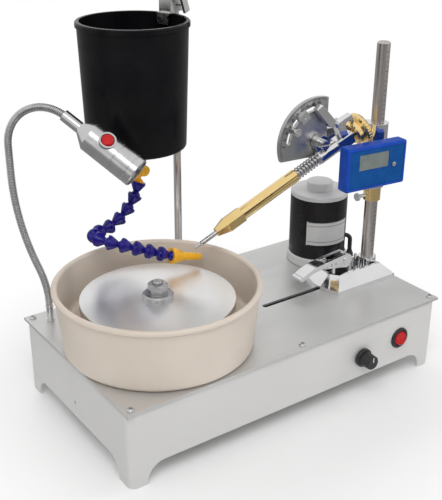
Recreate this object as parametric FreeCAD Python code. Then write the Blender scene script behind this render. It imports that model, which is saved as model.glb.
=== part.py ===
import FreeCAD, Part
import math
import os

# Bench machine for grinding facets on stones: a flat lap turns in a splash bowl on a low case,
# a mast on a sliding base carries a tilting quill, and a drip bucket and a lamp stand behind.
# Millimetres, +Z up, origin on the floor under the middle of the case, +X towards the mast.

V = FreeCAD.Vector
Rot = FreeCAD.Rotation
Place = FreeCAD.Placement
X_AXIS = V(1, 0, 0)
Y_AXIS = V(0, 1, 0)
Z_AXIS = V(0, 0, 1)

# Clearances
RUN_FIT = 0.03
SEAT_FIT = 0.02
SCREW_FIT = 0.05
MOVING_GAP = 0.3

# Case
PLATE_L = 384.0
PLATE_W = 212.0
PLATE_TOP = 81.0
PLATE_T = 2.5
PLATE_Z = PLATE_TOP - PLATE_T
OVERHANG = 1.5
WALL = 2.5
CORNER_R = 8.0
FOOT_X = 18.0
FOOT_Y = 21.0
NOTCH_H = 20.0
NOTCH_R = 17.5
COVER_Z = 21.0
COVER_T = 2.0
COVER_TOP = COVER_Z + COVER_T
POST = 12.0
SCREW_INSET_X = 7.0
SCREW_INSET_Y = 6.5
MID_SCREW_X = 7.0
COVER_SCREW_IN = 3.0
SIDE_HOLE_Z = 36.0
SIDE_HOLE_R = 2.0
HALF_L = PLATE_L / 2 - OVERHANG
HALF_W = PLATE_W / 2 - OVERHANG
FRONT_Y = -HALF_W
INNER_FRONT_Y = FRONT_Y + WALL

# Case screws, all of one kind
SCREW_R = 1.95
SCREW_LEN = 9.0
SCREW_HEAD_R = 3.6
SCREW_HEAD_H = 2.2
SCREW_SLOT = 0.9

# Bowl
LAP_FROM_END = 88.7
LAP_X = LAP_FROM_END - PLATE_L / 2
LAP_Y = -13.8
BOWL_RIM_R = 100.0
BOWL_FOOT_R = 86.5
BOWL_FOOT_ROUND = 6.0
BOWL_TOP = 147.2
BOWL_WALL = 3.5
BOWL_LIP = 2.5
BOWL_FLOOR = 104.0
BOWL_HUB_R = 27.0
BOWL_HUB_TOP = 111.0
BOWL_BOSS_R = 5.0
BOWL_SCREW_PCD = 161.0
BOWL_SCREW_ANGLE = 124.0
BOWL_SCREWS = 3

# Lap and its spindle
LAP_R = 75.0
LAP_T = 8.0
LAP_TOP = 130.3
LAP_Z = LAP_TOP - LAP_T
PLATEN_R = 30.0
PLATEN_T = 6.0
SPINDLE_R = 7.5
STUD_R = 5.0
STUD_OUT = 2.5
NUT_FLANGE_R = 15.0
NUT_FLANGE_T = 4.5
NUT_HEX_R = 9.8
NUT_HEX_H = 10.0
HOUSING_R = 20.0
HOUSING_FLANGE_R = 34.0
HOUSING_FLANGE_T = 5.0
HOUSING_Z = 45.0
HOUSING_TOP = 109.0
HOUSING_SCREW_PCD = 54.0
BEARING_R = 16.0
BEARING_W = 9.0
BEARING_STEP_R = 12.0

# Belt drive
BELT_Z = 31.0
BELT_W = 8.0
BELT_T = 2.0
SPINDLE_PULLEY_R = 29.5
MOTOR_PULLEY_R = 12.0
PULLEY_RIM = 2.5
PULLEY_SIDE = 3.0
PULLEY_Z = BELT_Z - PULLEY_SIDE - 1
PULLEY_TOP = BELT_Z + BELT_W + PULLEY_SIDE + 1

# Motor
MOTOR_FROM_END = 40.0
MOTOR_FROM_BACK = 58.0
MOTOR_X = PLATE_L / 2 - MOTOR_FROM_END
MOTOR_Y = PLATE_W / 2 - MOTOR_FROM_BACK
MOTOR_R = 32.5
MOTOR_WALL = 3.0
MOTOR_FLANGE_R = 34.5
MOTOR_FLANGE_TOP = 92.0
MOTOR_BODY_TOP = 162.0
MOTOR_CAP_TOP = 167.0
MOTOR_BOSS_R = 14.8
MOTOR_BOSS_TOP = 177.0
MOTOR_SHAFT_R = 4.0
MOTOR_SPIGOT_R = 12.0
MOTOR_SCREW_PCD = 48.0
ROTOR_R = 24.0
ROTOR_Z = 100.0
ROTOR_TOP = 150.0
CABLE_R = 2.5
CABLE_BEND = 6.5
CABLE_OUT_Z = 110.0
CABLE_AZIMUTH = -35.5
CABLE_SLEEVE_R = 4.5
CABLE_SLEEVE_H = 6.0

# Front panel
KNOB_FROM_END = 109.0
KNOB_X = PLATE_L / 2 - KNOB_FROM_END
KNOB_Z = 45.0
KNOB_FLANGE_R = 10.0
KNOB_GRIP_R = 8.0
KNOB_OUT = 16.0
KNOB_FLANGE_T = 4.0
KNOB_RIBS = 18
POT_R = 8.5
POT_DEPTH = 10.0
POT_BUSH_R = 4.0
POT_NUT_R = 6.0
POT_NUT_T = 2.0
POT_SHAFT_R = 3.0
BOARD_L = 64.0
BOARD_H = 40.0
BOARD_T = 1.6
SWITCH_FROM_END = 54.0
SWITCH_X = PLATE_L / 2 - SWITCH_FROM_END
SWITCH_Z = 48.5
SWITCH_BEZEL_R = 11.5
SWITCH_BEZEL_T = 2.2
SWITCH_BARREL_R = 9.8
SWITCH_DEPTH = 20.0
ROCKER_R = 7.9
ROCKER_GAP = 0.35
ROCKER_LEAN = 9.0

# Power entry and supply
INLET_FROM_END = 92.0
INLET_X = PLATE_L / 2 - INLET_FROM_END
INLET_Z = 52.0
INLET_W = 28.0
INLET_H = 20.0
INLET_DEPTH = 24.0
INLET_FLANGE = 3.5
INLET_FLANGE_T = 2.5
SUPPLY_X = -25.0
SUPPLY_L = 110.0
SUPPLY_W = 48.0
SUPPLY_H = 34.0
SUPPLY_FROM_WALL = 4.0
SUPPLY_Y = HALF_W - WALL - SUPPLY_FROM_WALL - SUPPLY_W / 2

# Mast base, which slides along a slot in the plate
SLOT_FROM_BACK = 121.0
SLOT_Y = PLATE_W / 2 - SLOT_FROM_BACK
SLOT_W = 6.4
SLOT_L = 116.0
BASE_FROM_END = 2.0
BASE_L = 91.0
BASE_X1 = PLATE_L / 2 - BASE_FROM_END
BASE_X0 = BASE_X1 - BASE_L
BASE_HALF_W = 27.0
BASE_NOSE = 7.0
BASE_NOSE_HALF_W = 5.0
BASE_SIDE_H = 4.0
BASE_BEVEL = 12.0
BASE_RIM = 3.0
BASE_POCKET = 8.0
BASE_TOP = PLATE_TOP + BASE_SIDE_H + BASE_BEVEL
POCKET_FLOOR = BASE_TOP - BASE_POCKET
MAST_IN = 18.0
MAST_X = BASE_X1 - MAST_IN
MAST_Y = SLOT_Y
MAST_R = 7.0
MAST_TOP = 342.0
MAST_FOOT = PLATE_TOP + 2.0
SOCKET_R = 10.0
SOCKET_TOP = 102.0
GUIDE_PIN_IN = 36.0
GUIDE_PIN_X = BASE_X1 - GUIDE_PIN_IN
GUIDE_PIN_R = 1.5
GUIDE_PIN_TOP = 109.0
CLAMP_IN = 56.0
CLAMP_X = BASE_X1 - CLAMP_IN
CLAMP_R = 3.0
SLOT_PAST_CLAMP = 6.0
SLOT_X1 = CLAMP_X + SLOT_PAST_CLAMP
SLOT_X0 = SLOT_X1 - SLOT_L
CLAMP_BUSH_R = 7.0
CLAMP_BUSH_TOP = 99.0
CLAMP_PLATE_L = 24.0
CLAMP_PLATE_W = 16.0
CLAMP_PLATE_T = 5.0
LEVER_Z = 108.0
LEVER_EYE_R = 5.0
LEVER_EYE_W = 7.0
LEVER_CAM_R = 8.0
LEVER_PIN_R = 2.0
LEVER_CHEEK = 3.5
LEVER_LEN = 62.0
LEVER_HANDLE_T = 5.0
LEVER_HOLE_R = 1.4
LEVER_HOLE_PITCH = 6.0

# Stop collar and head on the mast
COLLAR_R = 9.25
COLLAR_Z = 170.5
COLLAR_TOP = 186.0
THUMB_R = 2.0
THUMB_HEAD_R = 4.5
THUMB_HEAD_T = 3.0
THUMB_OUT = 20.0
THUMB_Z = 177.0
HEAD_TURN = 5.5
SLEEVE_R = 11.5
SLEEVE_TOP = 257.0
ARM_BACK = 19.0
ARM_T = 7.0
ARM_H = 16.0
ARM_EYE_R = 11.0
ARM_LUG_HALF_W = 9.0

# Protractor, centred on the tilt pivot
PIVOT_S = 71.6
PIVOT_Z = 244.3
ARM_Z = PIVOT_Z - ARM_H / 2
PIVOT_R = 4.0
PIVOT_HEAD_R = 5.0
PIVOT_HEAD_T = 6.0
PIVOT_BUSH_R = 7.5
PIVOT_BUSH_OUT = 4.0
SECTOR_R = 47.0
SECTOR_FACE = 8.0
SECTOR_BACK = 12.5
SECTOR_EDGE = 11.6
SECTOR_DROP = 15.8
SLOT_ARC_R = 36.0
SLOT_ARC_W = 5.0
SLOT_ARC_0 = 6.0
SLOT_ARC_1 = 82.0
STOP_ANGLE = 54.8
STOP_SCREW_ANGLE = 27.6
STOP_SIDE = 10.0
STOP_T = 6.0
STOP_SCREW_R = 4.2
STOP_SCREW_OUT = 11.0
STOP_NUT_T = 3.0

# Digital readout
GAUGE_S0 = -12.0
GAUGE_S1 = 64.5
GAUGE_Z0 = 199.0
GAUGE_Z1 = 246.0
GAUGE_BACK = 20.5
GAUGE_FRONT = 36.0
GAUGE_ROUND = 2.5
GAUGE_BOSS_W = 16.0
GAUGE_BOSS_H = 34.0
GAUGE_FACE_INSET = 3.5
GAUGE_FACE_DEEP = 0.6
WINDOW_LEFT = 15.5
WINDOW_TOP = 8.4
WINDOW_W = 38.0
WINDOW_H = 17.0
WINDOW_DEEP = 0.8
BUTTON_LEFT = 60.5
BUTTON_TOP = 24.0
BUTTON_R = 2.5
BUTTON_OUT = 1.4
BUTTON_DEEP = 4.0

# Quill, with places measured along its axis from the point under the pivot
QUILL_TILT = 25.6
QUILL_DROP = 12.5
BLOCK_HALF = 7.0
BLOCK_0 = -34.0
BARREL_0 = -14.0
BLOCK_1 = 10.0
LUG_FRONT = -1.0
LUG_BACK = 7.5
LUG_R = 8.5
SPINDLE_Q_R = 4.0
SPINDLE_Q_0 = -53.0
SPRING_R = 5.7
SPRING_WIRE_R = 0.8
SPRING_0 = 10.6
SPRING_1 = 41.0
SPRING_TURNS = 7.5
TUBE_R = 6.75
TUBE_1 = 112.0
COLLET_HEX_R = 9.0
COLLET_HEX_1 = 131.0
COLLET_CONE = 13.0
COLLET_1 = COLLET_HEX_1 + COLLET_CONE
COLLET_TIP_R = 4.9
DOP_R = 2.5
DOP_0 = TUBE_1 + 1.0
DOP_OUT = 19.0
DOP_1 = COLLET_1 + DOP_OUT
DOP_TIP_R = 1.5
DOP_TIP_LEN = 8.0
DOP_TIP = DOP_1 + DOP_TIP_LEN
WHEEL_0 = -51.0
WHEEL_STEP = -44.0
WHEEL_1 = -36.0
WHEEL_R = 18.0
WHEEL_COLLAR_R = 13.0
WHEEL_BEVEL = 2.0
WHEEL_NOTCHES = 32
WHEEL_NOTCH = 1.0

# Index lever on the quill block, as distance along and height above the quill axis
TRIGGER_PIVOT = (-24.9, 20.7)
TRIGGER_TOOTH = (-40.0, 13.5)
TRIGGER_BEND = (-17.7, 28.8)
TRIGGER_END = (-10.7, 50.3)
TRIGGER_HALF_W = 4.0
TRIGGER_BAR = 4.0
TRIGGER_PIN_R = 1.8
TRIGGER_POST = 4.0

# Bucket on its rod
ROD_FROM_LAP = 93.3
ROD_X = LAP_X + ROD_FROM_LAP
ROD_FROM_BACK = 11.0
ROD_Y = PLATE_W / 2 - ROD_FROM_BACK
ROD_R = 4.0
ROD_TOP = 410.0
ROD_FOOT = 68.0
ROD_NUT_R = 7.5
ROD_NUT_H = 6.0
BUCKET_LEFT = 58.0
BUCKET_AHEAD = 17.0
BUCKET_X = ROD_X - BUCKET_LEFT
BUCKET_Y = ROD_Y - BUCKET_AHEAD
BUCKET_TOP_R = 53.0
BUCKET_BOTTOM_R = 49.5
BUCKET_Z = 250.0
BUCKET_TOP = 373.0
BUCKET_WALL = 2.5
BUCKET_LIP = 1.5
BUCKET_LIP_H = 5.0
BUCKET_LIFT = 15.0
STRAP_W = 14.0
STRAP_T = 1.5
STRAP_DROP = 27.0
STRAP_IN = 9.0
CLAMP_BLOCK_W = 15.0
CLAMP_BLOCK_H = 13.0
WING_R = 2.0
WING_LEN = 15.0
WING_W = 7.0
WING_T = 3.0
WING_LEAN = 20.0

# Valve under the bucket
VALVE_R = 8.0
VALVE_TOP = 246.0
VALVE_Z = 219.0
VALVE_NECK_R = 5.5
VALVE_NUT_R = 9.0
VALVE_NUT_T = 5.0
VALVE_STEM_R = 3.0
VALVE_STEM_Z = 227.0
VALVE_STEM_OUT = 2.0
VALVE_STEM_IN = 4.0
HANDLE_LEN = 28.0
HANDLE_W = 9.0
HANDLE_T = 4.0

# Jointed hose: each link's compass heading and its dip below level, from the valve to the nozzle
HOSE_PITCH = 13.6
HOSE_BALL_R = 5.4
HOSE_CUP_R = HOSE_BALL_R + MOVING_GAP
HOSE_LIP_R = 7.4
HOSE_LIP = 1.75
HOSE_NECK_R = 3.0
HOSE_BORE_R = 1.8
HOSE_START_Z = 210.0
HOSE_RUN = [
    (180, 70), (180, 54), (180, 42), (180, 28), (187, 10), (222, -6), (258, -8),
    (294, 2), (328, 14), (340, 20), (346, 22), (350, 22), (353, 21),
]
HOSE_SPLIT = 5
NOZZLE_HEADING = (355, 14)
NOZZLE_LEN = 33.0
NOZZLE_TIP_R = 3.4
NOZZLE_COLLAR_R = 8.2

# Lamp on a flexible neck that bends in one upright plane
NECK_FROM_END = 20.0
NECK_FROM_BACK = 21.0
NECK_X = NECK_FROM_END - PLATE_L / 2
NECK_Y = PLATE_W / 2 - NECK_FROM_BACK
NECK_PLANE = -54.0
NECK_R = 3.7
NECK_VALLEY_R = 3.2
NECK_BORE_R = 2.0
NECK_RIBS = 120
NECK_FERRULE_R = 3.4
NECK_FERRULE_H = 20.0
NECK_FERRULE_FOOT = 66.0
NECK_NUT_R = 6.5
NECK_NUT_H = 4.0
# Each stretch of the neck: bend radius (0 for straight), then length or turn towards the lamp
NECK_RUN = [(0.0, 20.0), (90.0, -25.0), (230.0, 25.0), (0.0, 27.0), (41.0, 124.0)]
LAMP_NECK_R = 5.6
LAMP_NECK_BORE = 4.6
LAMP_NECK_IN = 3.0
LAMP_NECK_STOP = 0.95
LAMP_NECK_LEN = 16.0
LAMP_R = 14.5
LAMP_CONE = 12.0
LAMP_LEN = 82.0
LAMP_WALL = 1.5
LAMP_GROOVE = 0.6
LAMP_GROOVES = (58.0, 74.0)
LAMP_PIT = 30.0
LAMP_LENS_T = 2.0
LAMP_LENS_IN = 3.0
LAMP_ROLL = 34.0
LAMP_SWITCH_AT = 45.0
LAMP_SWITCH_R = 8.0
LAMP_SWITCH_OUT = 1.5
LAMP_SWITCH_DEEP = 7.0
LAMP_ROCKER_R = 6.0


# Shared shapes

def box(x0, x1, y0, y1, z0, z1):
    return Part.makeBox(x1 - x0, y1 - y0, z1 - z0, V(x0, y0, z0))


def rod(radius, z0, z1, x=0.0, y=0.0):
    return Part.makeCylinder(radius, z1 - z0, V(x, y, z0))


def bar(radius, start, direction, length):
    return Part.makeCylinder(radius, length, start, direction)


def ring(outer, inner, z0, z1, x=0.0, y=0.0):
    return rod(outer, z0, z1, x, y).cut(rod(inner, z0 - 1, z1 + 1, x, y))


def outline(start, *steps):
    """A closed wire of (x, z) points; a step of two points is an arc through the first."""
    edges = []
    here = V(start[0], 0, start[1])
    first = here
    for step in steps:
        if isinstance(step[0], tuple):
            middle = V(step[0][0], 0, step[0][1])
            there = V(step[1][0], 0, step[1][1])
            edges.append(Part.Arc(here, middle, there).toShape())
        else:
            there = V(step[0], 0, step[1])
            edges.append(Part.LineSegment(here, there).toShape())
        here = there
    if (here - first).Length > 1e-6:
        edges.append(Part.LineSegment(here, first).toShape())
    return Part.Wire(edges)


def turned(start, *steps):
    """A solid of revolution about Z from a closed outline of (radius, height) points."""
    return Part.Face(outline(start, *steps)).revolve(V(0, 0, 0), Z_AXIS, 360)


def plate_xz(wire, y0, y1):
    """The outline in the XZ plane made a plate from y0 to y1."""
    face = Part.Face(wire)
    face.translate(V(0, y0, 0))
    return face.extrude(V(0, y1 - y0, 0))


def polygon(points, z):
    corners = [V(x, y, z) for x, y in points]
    return Part.makePolygon(corners + corners[:1])


def hexagon(corner_r, z, turn=0.0):
    angles = [math.radians(60 * i + turn) for i in range(6)]
    return polygon([(corner_r * math.cos(a), corner_r * math.sin(a)) for a in angles], z)


def hex_bar(corner_r, z0, z1, turn=0.0):
    return Part.Face(hexagon(corner_r, z0, turn)).extrude(V(0, 0, z1 - z0))


def rounded_block(half_l, half_w, radius, z0, z1):
    block = box(-half_l, half_l, -half_w, half_w, z0, z1)
    upright = [e for e in block.Edges if abs(e.tangentAt(e.FirstParameter).z) > 0.9]
    return block.makeFillet(radius, upright)


def moved(shape, place):
    copy = shape.copy()
    copy.Placement = place.multiply(copy.Placement)
    return copy


def at(shape, x, y, z=0.0):
    return moved(shape, Place(V(x, y, z), Rot()))


def lay_along_x(shape):
    """Turns a shape made along +Z so that it runs along +X."""
    return moved(shape, Place(V(), Rot(Y_AXIS, 90)))


def joined(first, *others):
    return first.fuse(list(others)).removeSplitter()


def polar(radius, degrees):
    return radius * math.cos(math.radians(degrees)), radius * math.sin(math.radians(degrees))


def heading(azimuth, dip):
    x, y = polar(math.cos(math.radians(dip)), azimuth)
    return V(x, y, -math.sin(math.radians(dip)))


def save(name, *solids):
    shape = solids[0] if len(solids) == 1 else Part.makeCompound(list(solids))
    shape.exportStep("parts/" + name + ".step")


# Case: the places of the screws that hold the plate, the cover, the bowl and the motor

def corner_places():
    half_x = PLATE_L / 2 - SCREW_INSET_X
    half_y = PLATE_W / 2 - SCREW_INSET_Y
    return [(sx * half_x, sy * half_y) for sx in (-1, 1) for sy in (-1, 1)]


def cover_places():
    places = []
    for x, y in corner_places():
        places.append((x - math.copysign(COVER_SCREW_IN, x), y - math.copysign(COVER_SCREW_IN, y)))
    return places


def middle_places():
    return [(MID_SCREW_X, sy * (PLATE_W / 2 - SCREW_INSET_Y)) for sy in (-1, 1)]


def circle_places(x, y, pcd, count, start):
    spots = [polar(pcd / 2, start + 360 / count * i) for i in range(count)]
    return [(x + dx, y + dy) for dx, dy in spots]


def bowl_places():
    return circle_places(LAP_X, LAP_Y, BOWL_SCREW_PCD, BOWL_SCREWS, BOWL_SCREW_ANGLE)


def housing_places():
    return circle_places(LAP_X, LAP_Y, HOUSING_SCREW_PCD, 4, 45)


def motor_places():
    return circle_places(MOTOR_X, MOTOR_Y, MOTOR_SCREW_PCD, 4, 45)


def screw():
    """A cross-head screw standing on z = 0 with its shank below."""
    head = turned(
        (0, 0), (SCREW_HEAD_R, 0), (SCREW_HEAD_R, 0.4 * SCREW_HEAD_H),
        ((0.72 * SCREW_HEAD_R, 0.84 * SCREW_HEAD_H), (0, SCREW_HEAD_H)),
    )
    solid = joined(head, rod(SCREW_R, -SCREW_LEN, 0))
    half = SCREW_SLOT / 2
    reach = 0.6 * SCREW_HEAD_R
    deep = 0.45 * SCREW_HEAD_H
    cross = [
        box(-reach, reach, -half, half, deep, SCREW_HEAD_H + 1),
        box(-half, half, -reach, reach, deep, SCREW_HEAD_H + 1),
    ]
    return solid.cut(cross)


def case_screws():
    under = Place(V(), Rot(X_AXIS, 180))
    solids = []
    for x, y in corner_places() + middle_places():
        solids.append(at(screw(), x, y, PLATE_TOP))
    for x, y in cover_places():
        solids.append(at(moved(screw(), under), x, y, COVER_Z))
    for x, y in bowl_places():
        solids.append(at(screw(), x, y, BOWL_FLOOR))
    for x, y in housing_places():
        solids.append(at(screw(), x, y, PLATE_TOP + HOUSING_FLANGE_T))
    for x, y in motor_places():
        solids.append(at(moved(screw(), under), x, y, PLATE_Z))
    return solids


def screw_holes(places, z0, z1):
    return [rod(SCREW_R + SCREW_FIT, z0, z1, x, y) for x, y in places]


def base_housing():
    """The painted case: four walls on corner feet, with posts inside for the screws."""
    shell = rounded_block(HALF_L, HALF_W, CORNER_R, 0, PLATE_Z)
    room = rounded_block(HALF_L - WALL, HALF_W - WALL, CORNER_R - WALL, -1, PLATE_Z + 1)
    posts = []
    for x, y in corner_places():
        posts.append(box(x - POST / 2, x + POST / 2, y - POST / 2, y + POST / 2, COVER_TOP, PLATE_Z))
    for x, y in middle_places():
        posts.append(box(x - POST / 2, x + POST / 2, y - POST / 2, y + POST / 2, PLATE_Z - 20, PLATE_Z))
    posts = [post.common(shell) for post in posts]
    walls = joined(shell.cut(room), *posts)
    for half, foot, turn in ((HALF_L, FOOT_X, 0), (HALF_W, FOOT_Y, 90)):
        open_half = half - foot
        lean = NOTCH_R * (1 - math.sqrt(0.5))
        arch = outline(
            (-open_half, -1), (-open_half, NOTCH_H - NOTCH_R),
            ((-open_half + lean, NOTCH_H - lean), (-open_half + NOTCH_R, NOTCH_H)),
            (open_half - NOTCH_R, NOTCH_H),
            ((open_half - lean, NOTCH_H - lean), (open_half, NOTCH_H - NOTCH_R)),
            (open_half, -1),
        )
        cutter = plate_xz(arch, -PLATE_L, PLATE_L)
        walls = walls.cut(moved(cutter, Place(V(), Rot(Z_AXIS, turn))))
    holes = screw_holes(corner_places() + middle_places(), PLATE_Z - SCREW_LEN - 1, PLATE_Z + 1)
    holes += screw_holes(cover_places(), COVER_TOP - 1, COVER_Z + SCREW_LEN + 1)
    holes.append(bar(POT_BUSH_R + SCREW_FIT, V(KNOB_X, FRONT_Y - 1, KNOB_Z), Y_AXIS, WALL + 2))
    holes.append(bar(SWITCH_BARREL_R + SCREW_FIT, V(SWITCH_X, FRONT_Y - 1, SWITCH_Z), Y_AXIS, WALL + 2))
    holes.append(bar(SIDE_HOLE_R, V(-HALF_L - 1, 0, SIDE_HOLE_Z), X_AXIS, WALL + 2))
    holes.append(box(INLET_X - INLET_W / 2 - SCREW_FIT, INLET_X + INLET_W / 2 + SCREW_FIT,
                     HALF_W - WALL - 1, HALF_W + 1,
                     INLET_Z - INLET_H / 2 - SCREW_FIT, INLET_Z + INLET_H / 2 + SCREW_FIT))
    return walls.cut(holes)


def bottom_cover():
    gap = 0.5
    sheet = rounded_block(HALF_L - WALL - gap, HALF_W - WALL - gap, CORNER_R - WALL, COVER_Z, COVER_TOP)
    return sheet.cut(screw_holes(cover_places(), COVER_Z - 1, COVER_TOP + 1))


def top_plate():
    sheet = box(-PLATE_L / 2, PLATE_L / 2, -PLATE_W / 2, PLATE_W / 2, PLATE_Z, PLATE_TOP)
    low, high = PLATE_Z - 1, PLATE_TOP + 1
    places = corner_places() + middle_places() + bowl_places() + housing_places() + motor_places()
    holes = screw_holes(places, low, high)
    half = SLOT_W / 2
    holes.append(box(SLOT_X0 + half, SLOT_X1 - half, SLOT_Y - half, SLOT_Y + half, low, high))
    holes += [rod(half, low, high, x, SLOT_Y) for x in (SLOT_X0 + half, SLOT_X1 - half)]
    holes.append(rod(HOUSING_R + SCREW_FIT, low, high, LAP_X, LAP_Y))
    holes.append(rod(MOTOR_SPIGOT_R + SCREW_FIT, low, high, MOTOR_X, MOTOR_Y))
    holes.append(rod(CABLE_SLEEVE_R - 1 + SCREW_FIT, low, high, cable_foot().x, cable_foot().y))
    holes.append(rod(ROD_R + SCREW_FIT, low, high, ROD_X, ROD_Y))
    holes.append(rod(NECK_FERRULE_R + SCREW_FIT, low, high, NECK_X, NECK_Y))
    return sheet.cut(holes)


# Bowl and lap

def splash_bowl():
    """A moulded bowl on a hollow skirt, with a raised hub round the spindle."""
    rise = BOWL_FOOT_ROUND
    wall_r = BOWL_FOOT_R + rise
    lean = rise * math.sqrt(0.5)
    top_r = BOWL_RIM_R - BOWL_LIP
    bead = BOWL_TOP - 2
    inside_foot = wall_r - BOWL_WALL
    under = BOWL_FLOOR - BOWL_WALL
    bowl = turned(
        (BOWL_FOOT_R, PLATE_TOP),
        ((BOWL_FOOT_R + lean, PLATE_TOP + rise - lean), (wall_r, PLATE_TOP + rise)),
        (top_r, bead - 4), (BOWL_RIM_R, bead - 2), (BOWL_RIM_R, bead),
        ((BOWL_RIM_R - 2.9, BOWL_TOP), (BOWL_RIM_R - 5.8, bead)),
        (inside_foot + 1.5, BOWL_FLOOR + 4),
        ((inside_foot - 0.2, BOWL_FLOOR + 1.2), (inside_foot - 3, BOWL_FLOOR)),
        (BOWL_HUB_R, BOWL_FLOOR), (BOWL_HUB_R, BOWL_HUB_TOP), (BOWL_HUB_R - BOWL_WALL, BOWL_HUB_TOP),
        (BOWL_HUB_R - BOWL_WALL, under), (inside_foot, under),
        (inside_foot, PLATE_TOP + rise), (BOWL_FOOT_R - BOWL_WALL, PLATE_TOP),
    )
    bowl = at(bowl, LAP_X, LAP_Y)
    bosses = [rod(BOWL_BOSS_R, PLATE_TOP, under + 0.5, x, y) for x, y in bowl_places()]
    bowl = joined(bowl, *bosses)
    return bowl.cut(screw_holes(bowl_places(), PLATE_TOP - 1, BOWL_FLOOR + 1))


def spindle_housing():
    low = HOUSING_Z
    lower_step = low + BEARING_W + 1
    upper_step = HOUSING_TOP - BEARING_W - 1
    seat = BEARING_R + SEAT_FIT
    flange_top = PLATE_TOP + HOUSING_FLANGE_T
    body = turned(
        (seat, low), (HOUSING_R, low), (HOUSING_R, PLATE_TOP), (HOUSING_FLANGE_R, PLATE_TOP),
        (HOUSING_FLANGE_R, flange_top), (HOUSING_R, flange_top), (HOUSING_R, HOUSING_TOP),
        (seat, HOUSING_TOP), (seat, upper_step), (BEARING_STEP_R, upper_step),
        (BEARING_STEP_R, lower_step), (seat, lower_step),
    )
    body = at(body, LAP_X, LAP_Y)
    return body.cut(screw_holes(housing_places(), PLATE_TOP - 1, flange_top + 1))


def spindle_bearings():
    lower = HOUSING_Z + 1
    upper = HOUSING_TOP - 1 - BEARING_W
    bore = SPINDLE_R + RUN_FIT
    return [ring(BEARING_R, bore, z, z + BEARING_W, LAP_X, LAP_Y) for z in (lower, upper)]


def lap_spindle():
    foot = PULLEY_Z - 1
    stud_top = LAP_TOP + NUT_FLANGE_T + NUT_HEX_H + STUD_OUT
    return at(turned(
        (0, foot), (SPINDLE_R, foot), (SPINDLE_R, LAP_Z - PLATEN_T), (PLATEN_R, LAP_Z - PLATEN_T),
        (PLATEN_R, LAP_Z), (STUD_R, LAP_Z), (STUD_R, stud_top - 1), (STUD_R - 1, stud_top), (0, stud_top),
    ), LAP_X, LAP_Y)


def lap_disc():
    edge = 0.5
    return at(turned(
        (STUD_R + SCREW_FIT, LAP_Z), (LAP_R - edge, LAP_Z), (LAP_R, LAP_Z + edge), (LAP_R, LAP_TOP - edge),
        (LAP_R - edge, LAP_TOP), (STUD_R + SCREW_FIT, LAP_TOP),
    ), LAP_X, LAP_Y)


def lap_nut():
    flange_top = LAP_TOP + NUT_FLANGE_T
    top = flange_top + NUT_HEX_H
    flange = turned(
        (0, LAP_TOP), (NUT_FLANGE_R, LAP_TOP), (NUT_FLANGE_R, flange_top - 1.5),
        (NUT_FLANGE_R - 1.5, flange_top),
        (0, flange_top),
    )
    crown = turned(
        (0, flange_top), (NUT_HEX_R, flange_top), (NUT_HEX_R, top - 1), (NUT_HEX_R - 1.6, top), (0, top),
    )
    nut = joined(flange, hex_bar(NUT_HEX_R, flange_top, top, 20).common(crown))
    return at(nut.cut(rod(STUD_R + SCREW_FIT, LAP_TOP - 1, top + 1)), LAP_X, LAP_Y)


# Belt drive and motor

def pulley(seat_r, bore_r, x, y):
    rim = seat_r + PULLEY_RIM
    low = BELT_Z - 1
    high = BELT_Z + BELT_W + 1
    return at(turned(
        (bore_r, PULLEY_Z), (rim, PULLEY_Z), (rim, low), (seat_r, low), (seat_r, high), (rim, high),
        (rim, PULLEY_TOP), (bore_r, PULLEY_TOP),
    ), x, y)


def belt_edge(extra):
    """The closed line round both pulleys, a set distance outside their seats."""
    lap = V(LAP_X, LAP_Y, BELT_Z)
    motor = V(MOTOR_X, MOTOR_Y, BELT_Z)
    big = SPINDLE_PULLEY_R + extra
    small = MOTOR_PULLEY_R + extra
    along = (motor - lap).normalize()
    across = Z_AXIS.cross(along)
    sine = (big - small) / (motor - lap).Length
    cosine = math.sqrt(1 - sine * sine)
    upper = along * sine + across * cosine
    lower = along * sine - across * cosine
    return Part.Wire([
        Part.Arc(lap + lower * big, lap - along * big, lap + upper * big).toShape(),
        Part.LineSegment(lap + upper * big, motor + upper * small).toShape(),
        Part.Arc(motor + upper * small, motor + along * small, motor + lower * small).toShape(),
        Part.LineSegment(motor + lower * small, lap + lower * big).toShape(),
    ])


def drive_belt():
    band = Part.Face(belt_edge(MOVING_GAP + BELT_T)).extrude(V(0, 0, BELT_W))
    return band.cut(Part.Face(belt_edge(MOVING_GAP)).extrude(V(0, 0, BELT_W)))


def motor_end_bells():
    """The lower flange, with its spigot through the plate, and the upper cap with its boss."""
    bore = MOTOR_SHAFT_R + RUN_FIT
    rim = MOTOR_FLANGE_R
    flange = turned(
        (bore, PLATE_Z - 2), (MOTOR_SPIGOT_R, PLATE_Z - 2), (MOTOR_SPIGOT_R, PLATE_TOP), (rim - 1, PLATE_TOP),
        (rim, PLATE_TOP + 1), (rim, MOTOR_FLANGE_TOP - 1), (rim - 1, MOTOR_FLANGE_TOP),
        (bore, MOTOR_FLANGE_TOP),
    )
    flange = at(flange, MOTOR_X, MOTOR_Y)
    flange = flange.cut(screw_holes(motor_places(), PLATE_TOP - 1, PLATE_Z + SCREW_LEN + 1))
    cap = turned(
        (bore, MOTOR_BODY_TOP), (MOTOR_R, MOTOR_BODY_TOP), (MOTOR_R, MOTOR_CAP_TOP - 1),
        (MOTOR_R - 1, MOTOR_CAP_TOP), (MOTOR_BOSS_R, MOTOR_CAP_TOP), (MOTOR_BOSS_R, MOTOR_BOSS_TOP - 1),
        (MOTOR_BOSS_R - 1, MOTOR_BOSS_TOP), (0, MOTOR_BOSS_TOP), (0, MOTOR_CAP_TOP), (bore, MOTOR_CAP_TOP),
    )
    return [flange, at(cap, MOTOR_X, MOTOR_Y)]


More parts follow.
